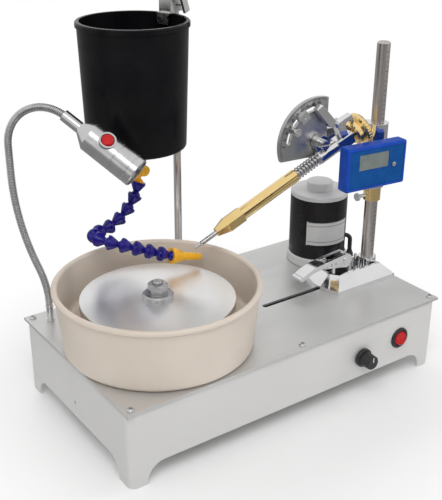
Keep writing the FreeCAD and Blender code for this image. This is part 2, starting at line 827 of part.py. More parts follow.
def motor_body():
    can = ring(MOTOR_R, MOTOR_R - MOTOR_WALL, MOTOR_FLANGE_TOP, MOTOR_BODY_TOP, MOTOR_X, MOTOR_Y)
    out = heading(CABLE_AZIMUTH, 0)
    centre = V(MOTOR_X, MOTOR_Y, CABLE_OUT_Z)
    return can.cut(bar(CABLE_R + SCREW_FIT, centre + out * (ROTOR_R + 1), out, MOTOR_R))


def motor_shaft():
    return at(turned(
        (0, PULLEY_Z - 1), (MOTOR_SHAFT_R, PULLEY_Z - 1), (MOTOR_SHAFT_R, ROTOR_Z), (ROTOR_R, ROTOR_Z),
        (ROTOR_R, ROTOR_TOP), (MOTOR_SHAFT_R, ROTOR_TOP), (MOTOR_SHAFT_R, MOTOR_CAP_TOP - 1),
        (0, MOTOR_CAP_TOP - 1),
    ), MOTOR_X, MOTOR_Y)


def cable_foot():
    """The point on the plate where the motor's cable goes down into the case."""
    return V(MOTOR_X, MOTOR_Y, PLATE_TOP) + heading(CABLE_AZIMUTH, 0) * (MOTOR_R + CABLE_BEND)


def motor_cable():
    """The cable out of the motor's side and down through a moulded sleeve in the plate."""
    out = heading(CABLE_AZIMUTH, 0)
    start = V(MOTOR_X, MOTOR_Y, CABLE_OUT_Z) + out * (MOTOR_R - MOTOR_WALL + 0.5)
    bend = V(MOTOR_X, MOTOR_Y, CABLE_OUT_Z) + out * MOTOR_R
    foot = cable_foot()
    low = V(foot.x, foot.y, CABLE_OUT_Z - CABLE_BEND)
    slack = CABLE_BEND * math.sqrt(0.5)
    middle = V(bend.x, bend.y, low.z) + out * slack + Z_AXIS * slack
    end = V(foot.x, foot.y, PLATE_Z - 8)
    route = Part.Wire([
        Part.LineSegment(start, bend).toShape(),
        Part.Arc(bend, middle, low).toShape(),
        Part.LineSegment(low, end).toShape(),
    ])
    section = Part.Wire([Part.Circle(start, out, CABLE_R).toShape()])
    cable = route.makePipeShell([section], True, False)
    neck = rod(CABLE_SLEEVE_R - 1, PLATE_Z, PLATE_TOP, foot.x, foot.y)
    collar = rod(CABLE_SLEEVE_R, PLATE_TOP, PLATE_TOP + CABLE_SLEEVE_H, foot.x, foot.y)
    return joined(cable, neck, collar)


# Front panel, power entry and supply

def speed_knob():
    """A ribbed knob with its shaft, which turns in the bush of the speed control."""
    face = POT_NUT_T + 0.6
    grip_top = face + KNOB_OUT
    shape = turned(
        (0, face), (KNOB_FLANGE_R, face), (KNOB_FLANGE_R, face + KNOB_FLANGE_T - 1),
        (KNOB_FLANGE_R - 1, face + KNOB_FLANGE_T), (KNOB_GRIP_R, face + KNOB_FLANGE_T),
        (KNOB_GRIP_R - 0.6, grip_top - 1), (KNOB_GRIP_R - 1.6, grip_top), (0, grip_top),
    )
    spots = [polar(KNOB_GRIP_R + 0.3, 360 / KNOB_RIBS * i) for i in range(KNOB_RIBS)]
    shape = shape.cut([rod(0.8, face + KNOB_FLANGE_T, grip_top + 1, x, y) for x, y in spots])
    shape = shape.cut(rod(POT_BUSH_R + MOVING_GAP, face - 1, face + 3))
    shape = joined(shape, rod(POT_SHAFT_R, -WALL - POT_DEPTH / 2, face + 4))
    shape = shape.cut(box(-0.5, 0.5, 2, KNOB_GRIP_R + 1, grip_top - 0.8, grip_top + 1))
    return moved(shape, Place(V(KNOB_X, FRONT_Y, KNOB_Z), Rot(X_AXIS, 90)))


def speed_control():
    """The circuit board with its soldered potentiometer, held by the nut on the panel."""
    body = rod(POT_R, -WALL - POT_DEPTH, -WALL)
    bush = rod(POT_BUSH_R, -WALL - 1, POT_NUT_T + 2)
    nut = hex_bar(POT_NUT_R, 0, POT_NUT_T)
    back = -WALL - POT_DEPTH
    board = box(-BOARD_L / 2, BOARD_L / 2, -BOARD_H / 2, BOARD_H / 2, back - BOARD_T, back)
    sink = box(-BOARD_L / 2 + 4, -10, -BOARD_H / 2 + 4, BOARD_H / 2 - 4, back - BOARD_T - 12, back - BOARD_T)
    fin_low, fin_high = back - BOARD_T - 13, back - BOARD_T - 4
    fins = [box(-BOARD_L / 2 + 3, -9, y, y + 3, fin_low, fin_high) for y in (-13, -6, 1, 8)]
    cans = [rod(5, back - BOARD_T - 14, back - BOARD_T, 18, y) for y in (-8, 8)]
    shape = joined(body, bush, nut, board, sink.cut(fins), *cans)
    shape = shape.cut(rod(POT_SHAFT_R + RUN_FIT, -WALL - POT_DEPTH / 2 - 1, POT_NUT_T + 3))
    return moved(shape, Place(V(KNOB_X, FRONT_Y, KNOB_Z), Rot(X_AXIS, 90)))


def rocker(radius, front):
    """A round rocker about its own centre, with two sloping faces towards +Z."""
    edge = radius + 1
    fall = edge * math.tan(math.radians(ROCKER_LEAN))
    keep = plate_xz(outline(
        (-edge, -0.45 * radius), (edge, -0.45 * radius), (edge, front + 0.4 * fall), (0, front - 0.6 * fall),
        (-edge, front + 0.4 * fall),
    ), -edge, edge)
    return Part.makeSphere(radius).common(keep)


def switch_body():
    barrel = turned(
        (0, -SWITCH_DEPTH), (SWITCH_BARREL_R, -SWITCH_DEPTH), (SWITCH_BARREL_R, 0), (SWITCH_BEZEL_R, 0),
        (SWITCH_BEZEL_R, SWITCH_BEZEL_T - 1), (SWITCH_BEZEL_R - 1, SWITCH_BEZEL_T), (0, SWITCH_BEZEL_T),
    )
    room = rod(ROCKER_R + ROCKER_GAP, -ROCKER_R, SWITCH_BEZEL_T + 1)
    tags = [box(x - 2.4, x + 2.4, -0.4, 0.4, -SWITCH_DEPTH - 8, -SWITCH_DEPTH) for x in (-5, 5)]
    shape = joined(barrel.cut(room), *tags)
    return moved(shape, Place(V(SWITCH_X, FRONT_Y, SWITCH_Z), Rot(X_AXIS, 90)))


def switch_rocker():
    shape = moved(rocker(ROCKER_R, 4.6), Place(V(), Rot(Z_AXIS, 90)))
    return moved(shape, Place(V(SWITCH_X, FRONT_Y, SWITCH_Z), Rot(X_AXIS, 90 - ROCKER_LEAN)))


def mains_inlet():
    half_w, half_h = INLET_W / 2, INLET_H / 2
    front = HALF_W + INLET_FLANGE_T
    flange = box(-half_w - INLET_FLANGE, half_w + INLET_FLANGE, HALF_W, front,
                 -half_h - INLET_FLANGE, half_h + INLET_FLANGE)
    body = box(-half_w, half_w, front - INLET_DEPTH, HALF_W, -half_h, half_h)
    well = box(-half_w + 3, half_w - 3, front - 16, front + 1, -half_h + 3, half_h - 3)
    spots = ((-7, -1.5), (0, 2), (7, -1.5))
    pins = [box(x - 1, x + 1, front - 17, front - 3, z - 2, z + 2) for x, z in spots]
    return at(joined(flange, body).cut(well).fuse(pins), INLET_X, 0, INLET_Z)


def power_supply():
    half_l, half_w = SUPPLY_L / 2, SUPPLY_W / 2
    case = box(-half_l, half_l, -half_w, half_w, COVER_TOP, COVER_TOP + SUPPLY_H)
    shelf = box(half_l - 14, half_l + 1, -half_w - 1, half_w + 1, COVER_TOP + 14, COVER_TOP + SUPPLY_H + 1)
    block = box(half_l - 12, half_l - 2, -half_w + 4, half_w - 4, COVER_TOP + 14, COVER_TOP + 22)
    vents = [box(x, x + 2, -half_w + 8, half_w - 8, COVER_TOP + SUPPLY_H - 1.5, COVER_TOP + SUPPLY_H + 1)
             for x in range(int(-half_l) + 10, int(half_l) - 24, 6)]
    return at(joined(case.cut(shelf), block).cut(vents), SUPPLY_X, SUPPLY_Y)


# Mast base and mast

def base_outline(inset, z):
    x0, x1 = BASE_X0 + inset, BASE_X1 - inset
    half = BASE_HALF_W - inset
    nose = min(BASE_NOSE_HALF_W, half - 1)
    return polygon([
        (x0, SLOT_Y - nose), (x0 + BASE_NOSE, SLOT_Y - half), (x1, SLOT_Y - half), (x1, SLOT_Y + half),
        (x0 + BASE_NOSE, SLOT_Y + half), (x0, SLOT_Y + nose),
    ], z)


def mast_base():
    """A bevelled block with a sunk top, the mast's socket and a guide pin."""
    bevel_z = PLATE_TOP + BASE_SIDE_H
    foot = Part.Face(base_outline(0, PLATE_TOP)).extrude(V(0, 0, BASE_SIDE_H))
    hat = Part.makeLoft([base_outline(0, bevel_z), base_outline(BASE_BEVEL, BASE_TOP)], True, True)
    pocket = Part.Face(base_outline(BASE_BEVEL + BASE_RIM, POCKET_FLOOR)).extrude(V(0, 0, BASE_POCKET + 1))
    block = joined(foot, hat).cut(pocket)
    socket = rod(SOCKET_R, POCKET_FLOOR - 1, SOCKET_TOP, MAST_X, MAST_Y)
    pin = rod(GUIDE_PIN_R, POCKET_FLOOR - 1, GUIDE_PIN_TOP, GUIDE_PIN_X, MAST_Y)
    block = joined(block, socket, pin)
    holes = [rod(MAST_R + SEAT_FIT, MAST_FOOT, SOCKET_TOP + 1, MAST_X, MAST_Y)]
    holes.append(rod(CLAMP_R + SCREW_FIT, PLATE_TOP - 1, BASE_TOP, CLAMP_X, SLOT_Y))
    return block.cut(holes)


def mast():
    return at(turned(
        (0, MAST_FOOT), (MAST_R, MAST_FOOT), (MAST_R, MAST_TOP - 1.5), (MAST_R - 1.5, MAST_TOP),
        (0, MAST_TOP),
    ), MAST_X, MAST_Y)


def clamp_stud():
    """The stud through the slot, its plate under the top sheet, and the bush below the cam."""
    plate_top = PLATE_Z - 0.2
    half_l, half_w = CLAMP_PLATE_L / 2, CLAMP_PLATE_W / 2
    grip = box(-half_l, half_l, -half_w, half_w, plate_top - CLAMP_PLATE_T, plate_top)
    stem = rod(CLAMP_R, plate_top - CLAMP_PLATE_T - 3, LEVER_Z)
    eye = bar(LEVER_EYE_R, V(0, -LEVER_EYE_W / 2, LEVER_Z), Y_AXIS, LEVER_EYE_W)
    hole = bar(LEVER_PIN_R + RUN_FIT, V(0, -LEVER_EYE_W, LEVER_Z), Y_AXIS, 2 * LEVER_EYE_W)
    stud = joined(grip, stem, eye).cut(hole)
    bush = ring(CLAMP_BUSH_R, CLAMP_R + SCREW_FIT, POCKET_FLOOR, CLAMP_BUSH_TOP)
    return [at(stud, CLAMP_X, SLOT_Y), at(bush, CLAMP_X, SLOT_Y)]


def clamp_lever():
    """A cam lever: two cheeks with a cross pin, and a curved handle towards the lap."""
    inner = LEVER_EYE_W / 2 + MOVING_GAP
    outer = inner + LEVER_CHEEK
    reach = 0.5 * LEVER_LEN
    cheek_line = outline(
        (0, LEVER_CAM_R), ((LEVER_CAM_R, 0), (0, -LEVER_CAM_R)), (-0.3 * reach, -0.75 * LEVER_CAM_R),
        (-reach, -0.3 * LEVER_CAM_R), (-reach, 0.6 * LEVER_CAM_R), (-0.3 * reach, 0.9 * LEVER_CAM_R),
    )
    cheek = plate_xz(cheek_line, inner, outer)
    holes = [bar(LEVER_HOLE_R, V(-10 - LEVER_HOLE_PITCH * i, inner - 1, 0), Y_AXIS, LEVER_CHEEK + 2)
             for i in range(1, 4)]
    cheek = cheek.cut(holes)
    thick = LEVER_HANDLE_T
    start = -0.42 * LEVER_LEN
    handle_line = outline(
        (start, 0.55 * LEVER_CAM_R), ((-0.75 * LEVER_LEN, 2.2), (-LEVER_LEN, -4.0)),
        ((-LEVER_LEN - 0.6 * thick, -4.8 - 0.5 * thick), (-LEVER_LEN, -4.0 - thick)),
        ((-0.75 * LEVER_LEN, 1.6 - thick), (start, 0.55 * LEVER_CAM_R - thick)),
    )
    handle = plate_xz(handle_line, -outer, outer)
    pin = bar(LEVER_PIN_R, V(0, -outer, 0), Y_AXIS, 2 * outer)
    cap = bar(0.55 * LEVER_CAM_R, V(0, -outer - 1, 0), Y_AXIS, 1)
    far_cap = bar(0.55 * LEVER_CAM_R, V(0, outer, 0), Y_AXIS, 1)
    lever = joined(cheek, cheek.mirror(V(), Y_AXIS), handle, pin, cap, far_cap)
    return at(lever, CLAMP_X, SLOT_Y, LEVER_Z)


def stop_collar():
    collar = ring(COLLAR_R, MAST_R + RUN_FIT, COLLAR_Z, COLLAR_TOP, MAST_X, MAST_Y)
    return collar.cut(bar(THUMB_R + RUN_FIT, V(MAST_X, MAST_Y, THUMB_Z), X_AXIS * -1, THUMB_OUT))


def collar_screw():
    """A thumb screw into the collar, with its point clear of the mast."""
    start = MAST_R + MOVING_GAP
    shape = turned(
        (0, start), (THUMB_R, start), (THUMB_R, THUMB_OUT), (0.7 * THUMB_HEAD_R, THUMB_OUT),
        (THUMB_HEAD_R, THUMB_OUT + 1),
        (THUMB_HEAD_R, THUMB_OUT + THUMB_HEAD_T), (0, THUMB_OUT + THUMB_HEAD_T),
    )
    spots = [polar(THUMB_HEAD_R + 0.4, 30 * i) for i in range(12)]
    shape = shape.cut([rod(0.9, THUMB_OUT - 1, THUMB_OUT + THUMB_HEAD_T + 1, x, y) for x, y in spots])
    return moved(shape, Place(V(MAST_X, MAST_Y, THUMB_Z), Rot(Y_AXIS, -90)))


# Head: built with x out from the mast towards the lap, y towards the front and z up

HEAD = Place(V(MAST_X, MAST_Y, 0), Rot(Z_AXIS, 180 - HEAD_TURN))


def head_sleeve():
    """The sleeve that turns on the mast, with a lug for the arm and a boss for the readout."""
    sleeve = rod(SLEEVE_R, COLLAR_TOP, SLEEVE_TOP)
    lug = box(-ARM_LUG_HALF_W, ARM_LUG_HALF_W, -ARM_BACK, 0, ARM_Z, ARM_Z + ARM_H)
    half = GAUGE_BOSS_W / 2
    middle = (GAUGE_Z0 + GAUGE_Z1) / 2
    boss = box(-half, half, 0, GAUGE_BACK, middle - GAUGE_BOSS_H / 2, middle + GAUGE_BOSS_H / 2)
    bore = rod(MAST_R + RUN_FIT, COLLAR_TOP - 1, SLEEVE_TOP + 1)
    return moved(joined(sleeve, lug, boss).cut(bore), HEAD)


def head_arm():
    """A flat arm behind the quill, with an eye that carries the sector and the pivot's bush."""
    back = -ARM_BACK - ARM_T
    arm = box(-ARM_LUG_HALF_W, PIVOT_S, back, -ARM_BACK, ARM_Z, ARM_Z + ARM_H)
    eye = bar(ARM_EYE_R, V(PIVOT_S, back, PIVOT_Z), Y_AXIS, -SECTOR_BACK - back)
    seat = bar(PIVOT_BUSH_R + SEAT_FIT, V(PIVOT_S, back - 1, PIVOT_Z), Y_AXIS, ARM_T + 1)
    hole = bar(PIVOT_R + SCREW_FIT, V(PIVOT_S, back, PIVOT_Z), Y_AXIS, ARM_BACK + ARM_T)
    return moved(joined(arm, eye).cut([seat, hole]), HEAD)


def pivot_bush():
    low = -ARM_BACK - ARM_T - PIVOT_BUSH_OUT
    bush = bar(PIVOT_BUSH_R, V(PIVOT_S, low, PIVOT_Z), Y_AXIS, ARM_T + PIVOT_BUSH_OUT)
    hole = bar(PIVOT_R + RUN_FIT, V(PIVOT_S, low - 1, PIVOT_Z), Y_AXIS, ARM_T + PIVOT_BUSH_OUT + 2)
    return moved(bush.cut(hole), HEAD)


def pivot_bolt():
    front = -LUG_FRONT + MOVING_GAP
    back = -ARM_BACK - ARM_T - PIVOT_BUSH_OUT
    shank = bar(PIVOT_R, V(PIVOT_S, back - 6, PIVOT_Z), Y_AXIS, front - back + 6)
    head = bar(PIVOT_HEAD_R, V(PIVOT_S, front, PIVOT_Z), Y_AXIS, PIVOT_HEAD_T)
    slot = box(PIVOT_S - PIVOT_HEAD_R, PIVOT_S + PIVOT_HEAD_R,
               front + PIVOT_HEAD_T - 1.5, front + PIVOT_HEAD_T + 1,
               PIVOT_Z - 0.8, PIVOT_Z + 0.8)
    nut = moved(hex_bar(7.5, 0, 5), Place(V(PIVOT_S, back, PIVOT_Z), Rot(X_AXIS, 90)))
    return moved(joined(shank, head.cut(slot), nut), HEAD)


def arc_slot(radius, width, start, end):
    """A curved slot about the origin in the XZ plane, with round ends, as an outline."""
    inner, outer = radius - width / 2, radius + width / 2
    middle = (start + end) / 2
    cap = math.degrees(width / 2 / radius)
    return outline(
        polar(inner, start), (polar(inner, middle), polar(inner, end)),
        (polar(radius, end + cap), polar(outer, end)),
        (polar(outer, middle), polar(outer, start)), (polar(radius, start - cap), polar(inner, start)),
    )


def protractor():
    """A sector plate with straight inner edges and a curved slot for the stop."""
    right = -SECTOR_EDGE
    low = -SECTOR_DROP
    end = (math.sqrt(SECTOR_R ** 2 - low ** 2), low)
    top = (right, math.sqrt(SECTOR_R ** 2 - right ** 2))
    wire = outline((right, low), end, (polar(SECTOR_R, 42), top))
    plate = plate_xz(wire, -SECTOR_BACK, -SECTOR_FACE)
    way = arc_slot(SLOT_ARC_R, SLOT_ARC_W, SLOT_ARC_0, SLOT_ARC_1)
    slot = plate_xz(way, -SECTOR_BACK - 1, -SECTOR_FACE + 1)
    hole = bar(PIVOT_R + SCREW_FIT, V(0, -SECTOR_BACK - 1, 0), Y_AXIS, SECTOR_BACK)
    return moved(at(plate.cut([slot, hole]), PIVOT_S, 0, PIVOT_Z), HEAD)


def angle_stop():
    """The stop block and its locking screw, both through the curved slot."""
    neck = SLOT_ARC_W / 2 - MOVING_GAP
    face = -SECTOR_FACE + MOVING_GAP
    back = -SECTOR_BACK - MOVING_GAP
    half = STOP_SIDE / 2
    block = box(SLOT_ARC_R - half, SLOT_ARC_R + half, face, face + STOP_T, -half, half)
    grub = bar(1.2, V(SLOT_ARC_R, face + STOP_T - 1, 0), Y_AXIS, 2)
    screw_head = bar(STOP_SCREW_R, V(SLOT_ARC_R, face, 0), Y_AXIS, STOP_SCREW_OUT)
    notch = box(SLOT_ARC_R - 6, SLOT_ARC_R + 6,
                face + STOP_SCREW_OUT - 1.6, face + STOP_SCREW_OUT + 1, -0.6, 0.6)
    stem = bar(neck, V(SLOT_ARC_R, back, 0), Y_AXIS, face - back)
    nut = bar(half, V(SLOT_ARC_R, back - STOP_NUT_T, 0), Y_AXIS, STOP_NUT_T)
    pieces = [joined(block.cut(grub), stem, nut), joined(screw_head.cut(notch), stem, nut)]
    solids = []
    for piece, angle in zip(pieces, (STOP_ANGLE, STOP_SCREW_ANGLE)):
        spun = moved(piece, Place(V(), Rot(Y_AXIS, -angle)))
        solids.append(moved(at(spun, PIVOT_S, 0, PIVOT_Z), HEAD))
    return solids


def gauge_case():
    """The readout's case, with a sunk face, a window recess and a hole for the button."""
    case = box(GAUGE_S0, GAUGE_S1, GAUGE_BACK, GAUGE_FRONT, GAUGE_Z0, GAUGE_Z1)
    case = case.makeFillet(GAUGE_ROUND, case.Edges)
    inset = GAUGE_FACE_INSET
    face = box(GAUGE_S0 + inset, GAUGE_S1 - inset, GAUGE_FRONT - GAUGE_FACE_DEEP, GAUGE_FRONT + 1,
               GAUGE_Z0 + inset, GAUGE_Z1 - inset)
    left, top = GAUGE_S1 - WINDOW_LEFT, GAUGE_Z1 - WINDOW_TOP
    floor = GAUGE_FRONT - GAUGE_FACE_DEEP - WINDOW_DEEP
    window = box(left - WINDOW_W, left, floor, GAUGE_FRONT + 1, top - WINDOW_H, top)
    well = bar(BUTTON_R + MOVING_GAP, button_centre() - Y_AXIS * (BUTTON_DEEP + 2), Y_AXIS, BUTTON_DEEP + 4)
    return moved(case.cut([face, window, well]), HEAD)


def button_centre():
    return V(GAUGE_S1 - BUTTON_LEFT, GAUGE_FRONT - GAUGE_FACE_DEEP, GAUGE_Z1 - BUTTON_TOP)


def gauge_button():
    button = bar(BUTTON_R, button_centre() - Y_AXIS * BUTTON_DEEP, Y_AXIS, BUTTON_DEEP + BUTTON_OUT)
    return moved(button.makeFillet(0.5, [button.Edges[0]]), HEAD)


# Quill: built with x along its axis towards the stone and z square to it, upwards

QUILL_UP = Rot(Y_AXIS, QUILL_TILT).multVec(Z_AXIS)
QUILL_FOOT = V(PIVOT_S, 0, PIVOT_Z) - QUILL_UP * QUILL_DROP
QUILL = HEAD.multiply(Place(QUILL_FOOT, Rot(Y_AXIS, QUILL_TILT)))


def quill_block():
    """The block and barrel the spindle turns in, with the pivot's lug and the index lever's posts."""
    half = BLOCK_HALF
    body = box(BLOCK_0, BARREL_0, -half, half, -half, half)
    body = body.makeFillet(2.0, [e for e in body.Edges if abs(e.tangentAt(e.FirstParameter).x) > 0.9])
    barrel = bar(half, V(BARREL_0, 0, 0), X_AXIS, BLOCK_1 - BARREL_0)
    boss = bar(LUG_R, V(0, -LUG_BACK, QUILL_DROP), Y_AXIS, LUG_BACK - LUG_FRONT)
    web = box(-LUG_R, LUG_R, -LUG_BACK, -LUG_FRONT, 0, QUILL_DROP)
    pivot_hole = bar(PIVOT_R + RUN_FIT, V(0, -LUG_BACK - 1, QUILL_DROP), Y_AXIS, 2 * LUG_BACK)
    at_x, at_z = TRIGGER_PIVOT
    posts = []
    for side in (-1, 1):
        inner = side * (TRIGGER_HALF_W + MOVING_GAP)
        outer = inner + side * 2.2
        low, high = min(inner, outer), max(inner, outer)
        posts.append(box(at_x - TRIGGER_POST, at_x + TRIGGER_POST, low, high, half - 2, at_z + TRIGGER_POST))
    body = joined(body, barrel, boss, web, *posts)
    pin_hole = bar(TRIGGER_PIN_R + RUN_FIT, V(at_x, -LUG_BACK - 1, at_z), Y_AXIS, 3 * LUG_BACK)
    bore = bar(SPINDLE_Q_R + RUN_FIT, V(BLOCK_0 - 1, 0, 0), X_AXIS, BLOCK_1 - BLOCK_0 + 2)
    return moved(body.cut([pivot_hole, pin_hole, bore]), QUILL)


def index_lever():
    """A bent lever whose tooth lies over the index wheel's collar."""
    bar_t = TRIGGER_BAR
    tooth_x, tooth_z = TRIGGER_TOOTH
    pivot_x, pivot_z = TRIGGER_PIVOT
    bend_x, bend_z = TRIGGER_BEND
    end_x, end_z = TRIGGER_END
    wire = outline(
        (tooth_x - 1, tooth_z), (tooth_x + 1, tooth_z), (tooth_x + 2, pivot_z - bar_t / 2),
        (pivot_x, pivot_z - 0.8 * bar_t), (bend_x + bar_t, bend_z - bar_t), (end_x + bar_t, end_z),
        (end_x - bar_t, end_z + 1), (bend_x - bar_t, bend_z), (pivot_x, pivot_z + 0.8 * bar_t),
        (tooth_x - 2, pivot_z + bar_t / 2),
    )
    lever = plate_xz(wire, -TRIGGER_HALF_W, TRIGGER_HALF_W)
    reach = TRIGGER_HALF_W + MOVING_GAP + 2.2
    pin = bar(TRIGGER_PIN_R, V(pivot_x, -reach, pivot_z), Y_AXIS, 2 * reach)
    return moved(joined(lever, pin), QUILL)


def quill_spindle():
    return moved(bar(SPINDLE_Q_R, V(SPINDLE_Q_0, 0, 0), X_AXIS, TUBE_1 - SPINDLE_Q_0), QUILL)


def index_wheel():
    """A brass wheel: a notched disc with a bevelled collar in front."""
    bore = SPINDLE_Q_R + SEAT_FIT
    bevel = WHEEL_BEVEL
    wheel = turned(
        (bore, WHEEL_0), (WHEEL_R - bevel, WHEEL_0), (WHEEL_R, WHEEL_0 + bevel),
        (WHEEL_R, WHEEL_STEP - bevel),
        (WHEEL_R - bevel, WHEEL_STEP), (WHEEL_COLLAR_R, WHEEL_STEP), (WHEEL_COLLAR_R, WHEEL_1 - bevel),
        (WHEEL_COLLAR_R - bevel, WHEEL_1), (bore, WHEEL_1),
    )
    spots = [polar(WHEEL_R + 0.4, 360 / WHEEL_NOTCHES * i) for i in range(WHEEL_NOTCHES)]
    wheel = wheel.cut([rod(WHEEL_NOTCH, WHEEL_0 - 1, WHEEL_STEP + 1, x, y) for x, y in spots])
    return moved(lay_along_x(wheel), QUILL)


def biarc(start, start_dir, end, end_dir):
    """Two arcs from start to end that leave and arrive along the given directions."""
    chord = end - start
    both = start_dir + end_dir
    a = 2 * (start_dir.dot(end_dir) - 1)
    b = -2 * chord.dot(both)
    c = chord.dot(chord)
    reach = (-b - math.sqrt(b * b - 4 * a * c)) / (2 * a)
    meet = (start + start_dir * reach + end - end_dir * reach) * 0.5
    return [tangent_arc(start, start_dir, meet), tangent_arc(end, end_dir * -1, meet, True)]


def tangent_arc(start, direction, end, backwards=False):
    chord = end - start
    half = chord.Length / 2
    along = chord * (0.5 / half)
    side = direction - along * direction.dot(along)
    bulge = half * math.tan(math.acos(min(1.0, direction.dot(along))) / 2)
    middle = (start + end) * 0.5 + side * (bulge / side.Length)
    points = (end, middle, start) if backwards else (start, middle, end)
    return Part.Arc(*points).toShape()


def coil_point(turns):
    """A point of the spring's wire, and the wire's direction there, after some turns."""
    low = SPRING_0 + SPRING_WIRE_R
    rise = (SPRING_1 - SPRING_0 - 2 * SPRING_WIRE_R) / SPRING_TURNS
    angle = 2 * math.pi * turns
    point = V(low + rise * turns, SPRING_R * math.cos(angle), SPRING_R * math.sin(angle))
    way = V(rise / (2 * math.pi), -SPRING_R * math.sin(angle), SPRING_R * math.cos(angle))
    return point, way.normalize()


def quill_spring():
    """The open coil spring between the block and the tube, as one unbroken wire."""
    steps = int(SPRING_TURNS * 4)
    knots = [coil_point(i * SPRING_TURNS / steps) for i in range(steps + 1)]
    edges = []
    for (here, way), (there, next_way) in zip(knots, knots[1:]):
        edges += biarc(here, way, there, next_way)
    section = Part.Wire([Part.Circle(knots[0][0], knots[0][1], SPRING_WIRE_R).toShape()])
    wire = Part.Wire(edges).makePipeShell([section], True, False)
    return moved(wire, QUILL)


def quill_tube():
    tube = bar(TUBE_R, V(SPRING_1, 0, 0), X_AXIS, TUBE_1 - SPRING_1)
    return moved(tube.cut(bar(SPINDLE_Q_R + SEAT_FIT, V(SPRING_1 - 1, 0, 0), X_AXIS, TUBE_1)), QUILL)


def collet_nut():
    nut = hex_bar(COLLET_HEX_R, TUBE_1, COLLET_HEX_1)
    taper = Part.makeLoft([hexagon(COLLET_HEX_R, COLLET_HEX_1), hexagon(COLLET_TIP_R, COLLET_1)], True, True)
    nut = joined(nut, taper).cut(rod(DOP_R + SEAT_FIT, TUBE_1 - 1, COLLET_1 + 1))
    return moved(lay_along_x(nut), QUILL)


def dop_stick():
    step = 1.0
    stick = turned(
        (0, DOP_0), (DOP_R, DOP_0), (DOP_R, DOP_1), (DOP_TIP_R, DOP_1 + step), (DOP_TIP_R, DOP_TIP),
        (0, DOP_TIP),
    )
    return moved(lay_along_x(stick), QUILL)


# Bucket, its rod and its hanger

def bucket_rod():
    return at(turned(
        (0, ROD_FOOT), (ROD_R, ROD_FOOT), (ROD_R, ROD_TOP - 1), (ROD_R - 1, ROD_TOP), (0, ROD_TOP),
    ), ROD_X, ROD_Y)


def rod_nuts():
    bore = rod(ROD_R + SCREW_FIT, ROD_FOOT - 1, PLATE_TOP + 20)
    spans = ((PLATE_TOP, PLATE_TOP + ROD_NUT_H), (PLATE_Z - ROD_NUT_H, PLATE_Z))
    return [at(hex_bar(ROD_NUT_R, low, high).cut(bore), ROD_X, ROD_Y) for low, high in spans]


# The hanger's frame has x from the bucket's middle towards the rod
HANG_ANGLE = math.degrees(math.atan2(ROD_Y - BUCKET_Y, ROD_X - BUCKET_X))
HANG = Place(V(BUCKET_X, BUCKET_Y, 0), Rot(Z_AXIS, HANG_ANGLE))
ROD_REACH = math.hypot(ROD_X - BUCKET_X, ROD_Y - BUCKET_Y)
RIM_R = BUCKET_TOP_R + BUCKET_LIP
STRAP_TOP = BUCKET_TOP + STRAP_T
BLOCK_TOP = STRAP_TOP + CLAMP_BLOCK_H


def bucket():
    low, high = BUCKET_BOTTOM_R, BUCKET_TOP_R
    lip = BUCKET_TOP - BUCKET_LIP_H
    wall = BUCKET_WALL
    pot = turned(
        (VALVE_NECK_R + SCREW_FIT, BUCKET_Z), (low - 3, BUCKET_Z),
        ((low - 0.9, BUCKET_Z + 0.9), (low, BUCKET_Z + 3)),
        (high, lip), (RIM_R, lip), (RIM_R, BUCKET_TOP - 1), (RIM_R - 1, BUCKET_TOP),
        (high - wall, BUCKET_TOP),
        (low - wall, BUCKET_Z + wall), (VALVE_NECK_R + SCREW_FIT, BUCKET_Z + wall),
    )
    return at(pot, BUCKET_X, BUCKET_Y)


def bucket_hanger():
    """A strap bent over the bucket's rim, under a clamp block on the rod with its wing screw."""
    half = STRAP_W / 2
    outside = RIM_R + SCREW_FIT
    inside = BUCKET_TOP_R - BUCKET_WALL - STRAP_IN
    leg = box(outside, outside + STRAP_T, -half, half, BUCKET_TOP - STRAP_DROP, STRAP_TOP)
    top = box(inside, outside + STRAP_T, -half, half, BUCKET_TOP, STRAP_TOP)
    lip = box(inside, inside + STRAP_T, -half, half, BUCKET_TOP - 10, STRAP_TOP)
    rod_bore = rod(ROD_R + MOVING_GAP, 0, ROD_TOP, ROD_REACH)
    strap = joined(leg, top, lip).cut(rod_bore)
    width = CLAMP_BLOCK_W / 2
    block = box(inside + 4, ROD_REACH + width, -width, width, STRAP_TOP, BLOCK_TOP)
    middle = (STRAP_TOP + BLOCK_TOP) / 2
    tap = bar(WING_R + SCREW_FIT, V(ROD_REACH, 0, middle), Y_AXIS * -1, width + 1)
    block = block.cut([rod(ROD_R + RUN_FIT, 0, ROD_TOP, ROD_REACH), tap])
    return [moved(strap, HANG), moved(block, HANG), moved(wing_screw(width, middle), HANG)]


def wing_screw(face, z):
    """The screw that grips the rod, with a leaning wing."""
    start = ROD_R + MOVING_GAP
    stem = bar(WING_R, V(0, -start, 0), Y_AXIS * -1, face + 4 - start)
    wing = box(-WING_LEN / 2, WING_LEN / 2, -face - 4 - WING_T, -face - 4, -WING_W / 2, WING_W / 2)
    shape = moved(joined(stem, wing), Place(V(), Rot(Y_AXIS, 90 - WING_LEAN)))
    return at(shape, ROD_REACH, 0, z)


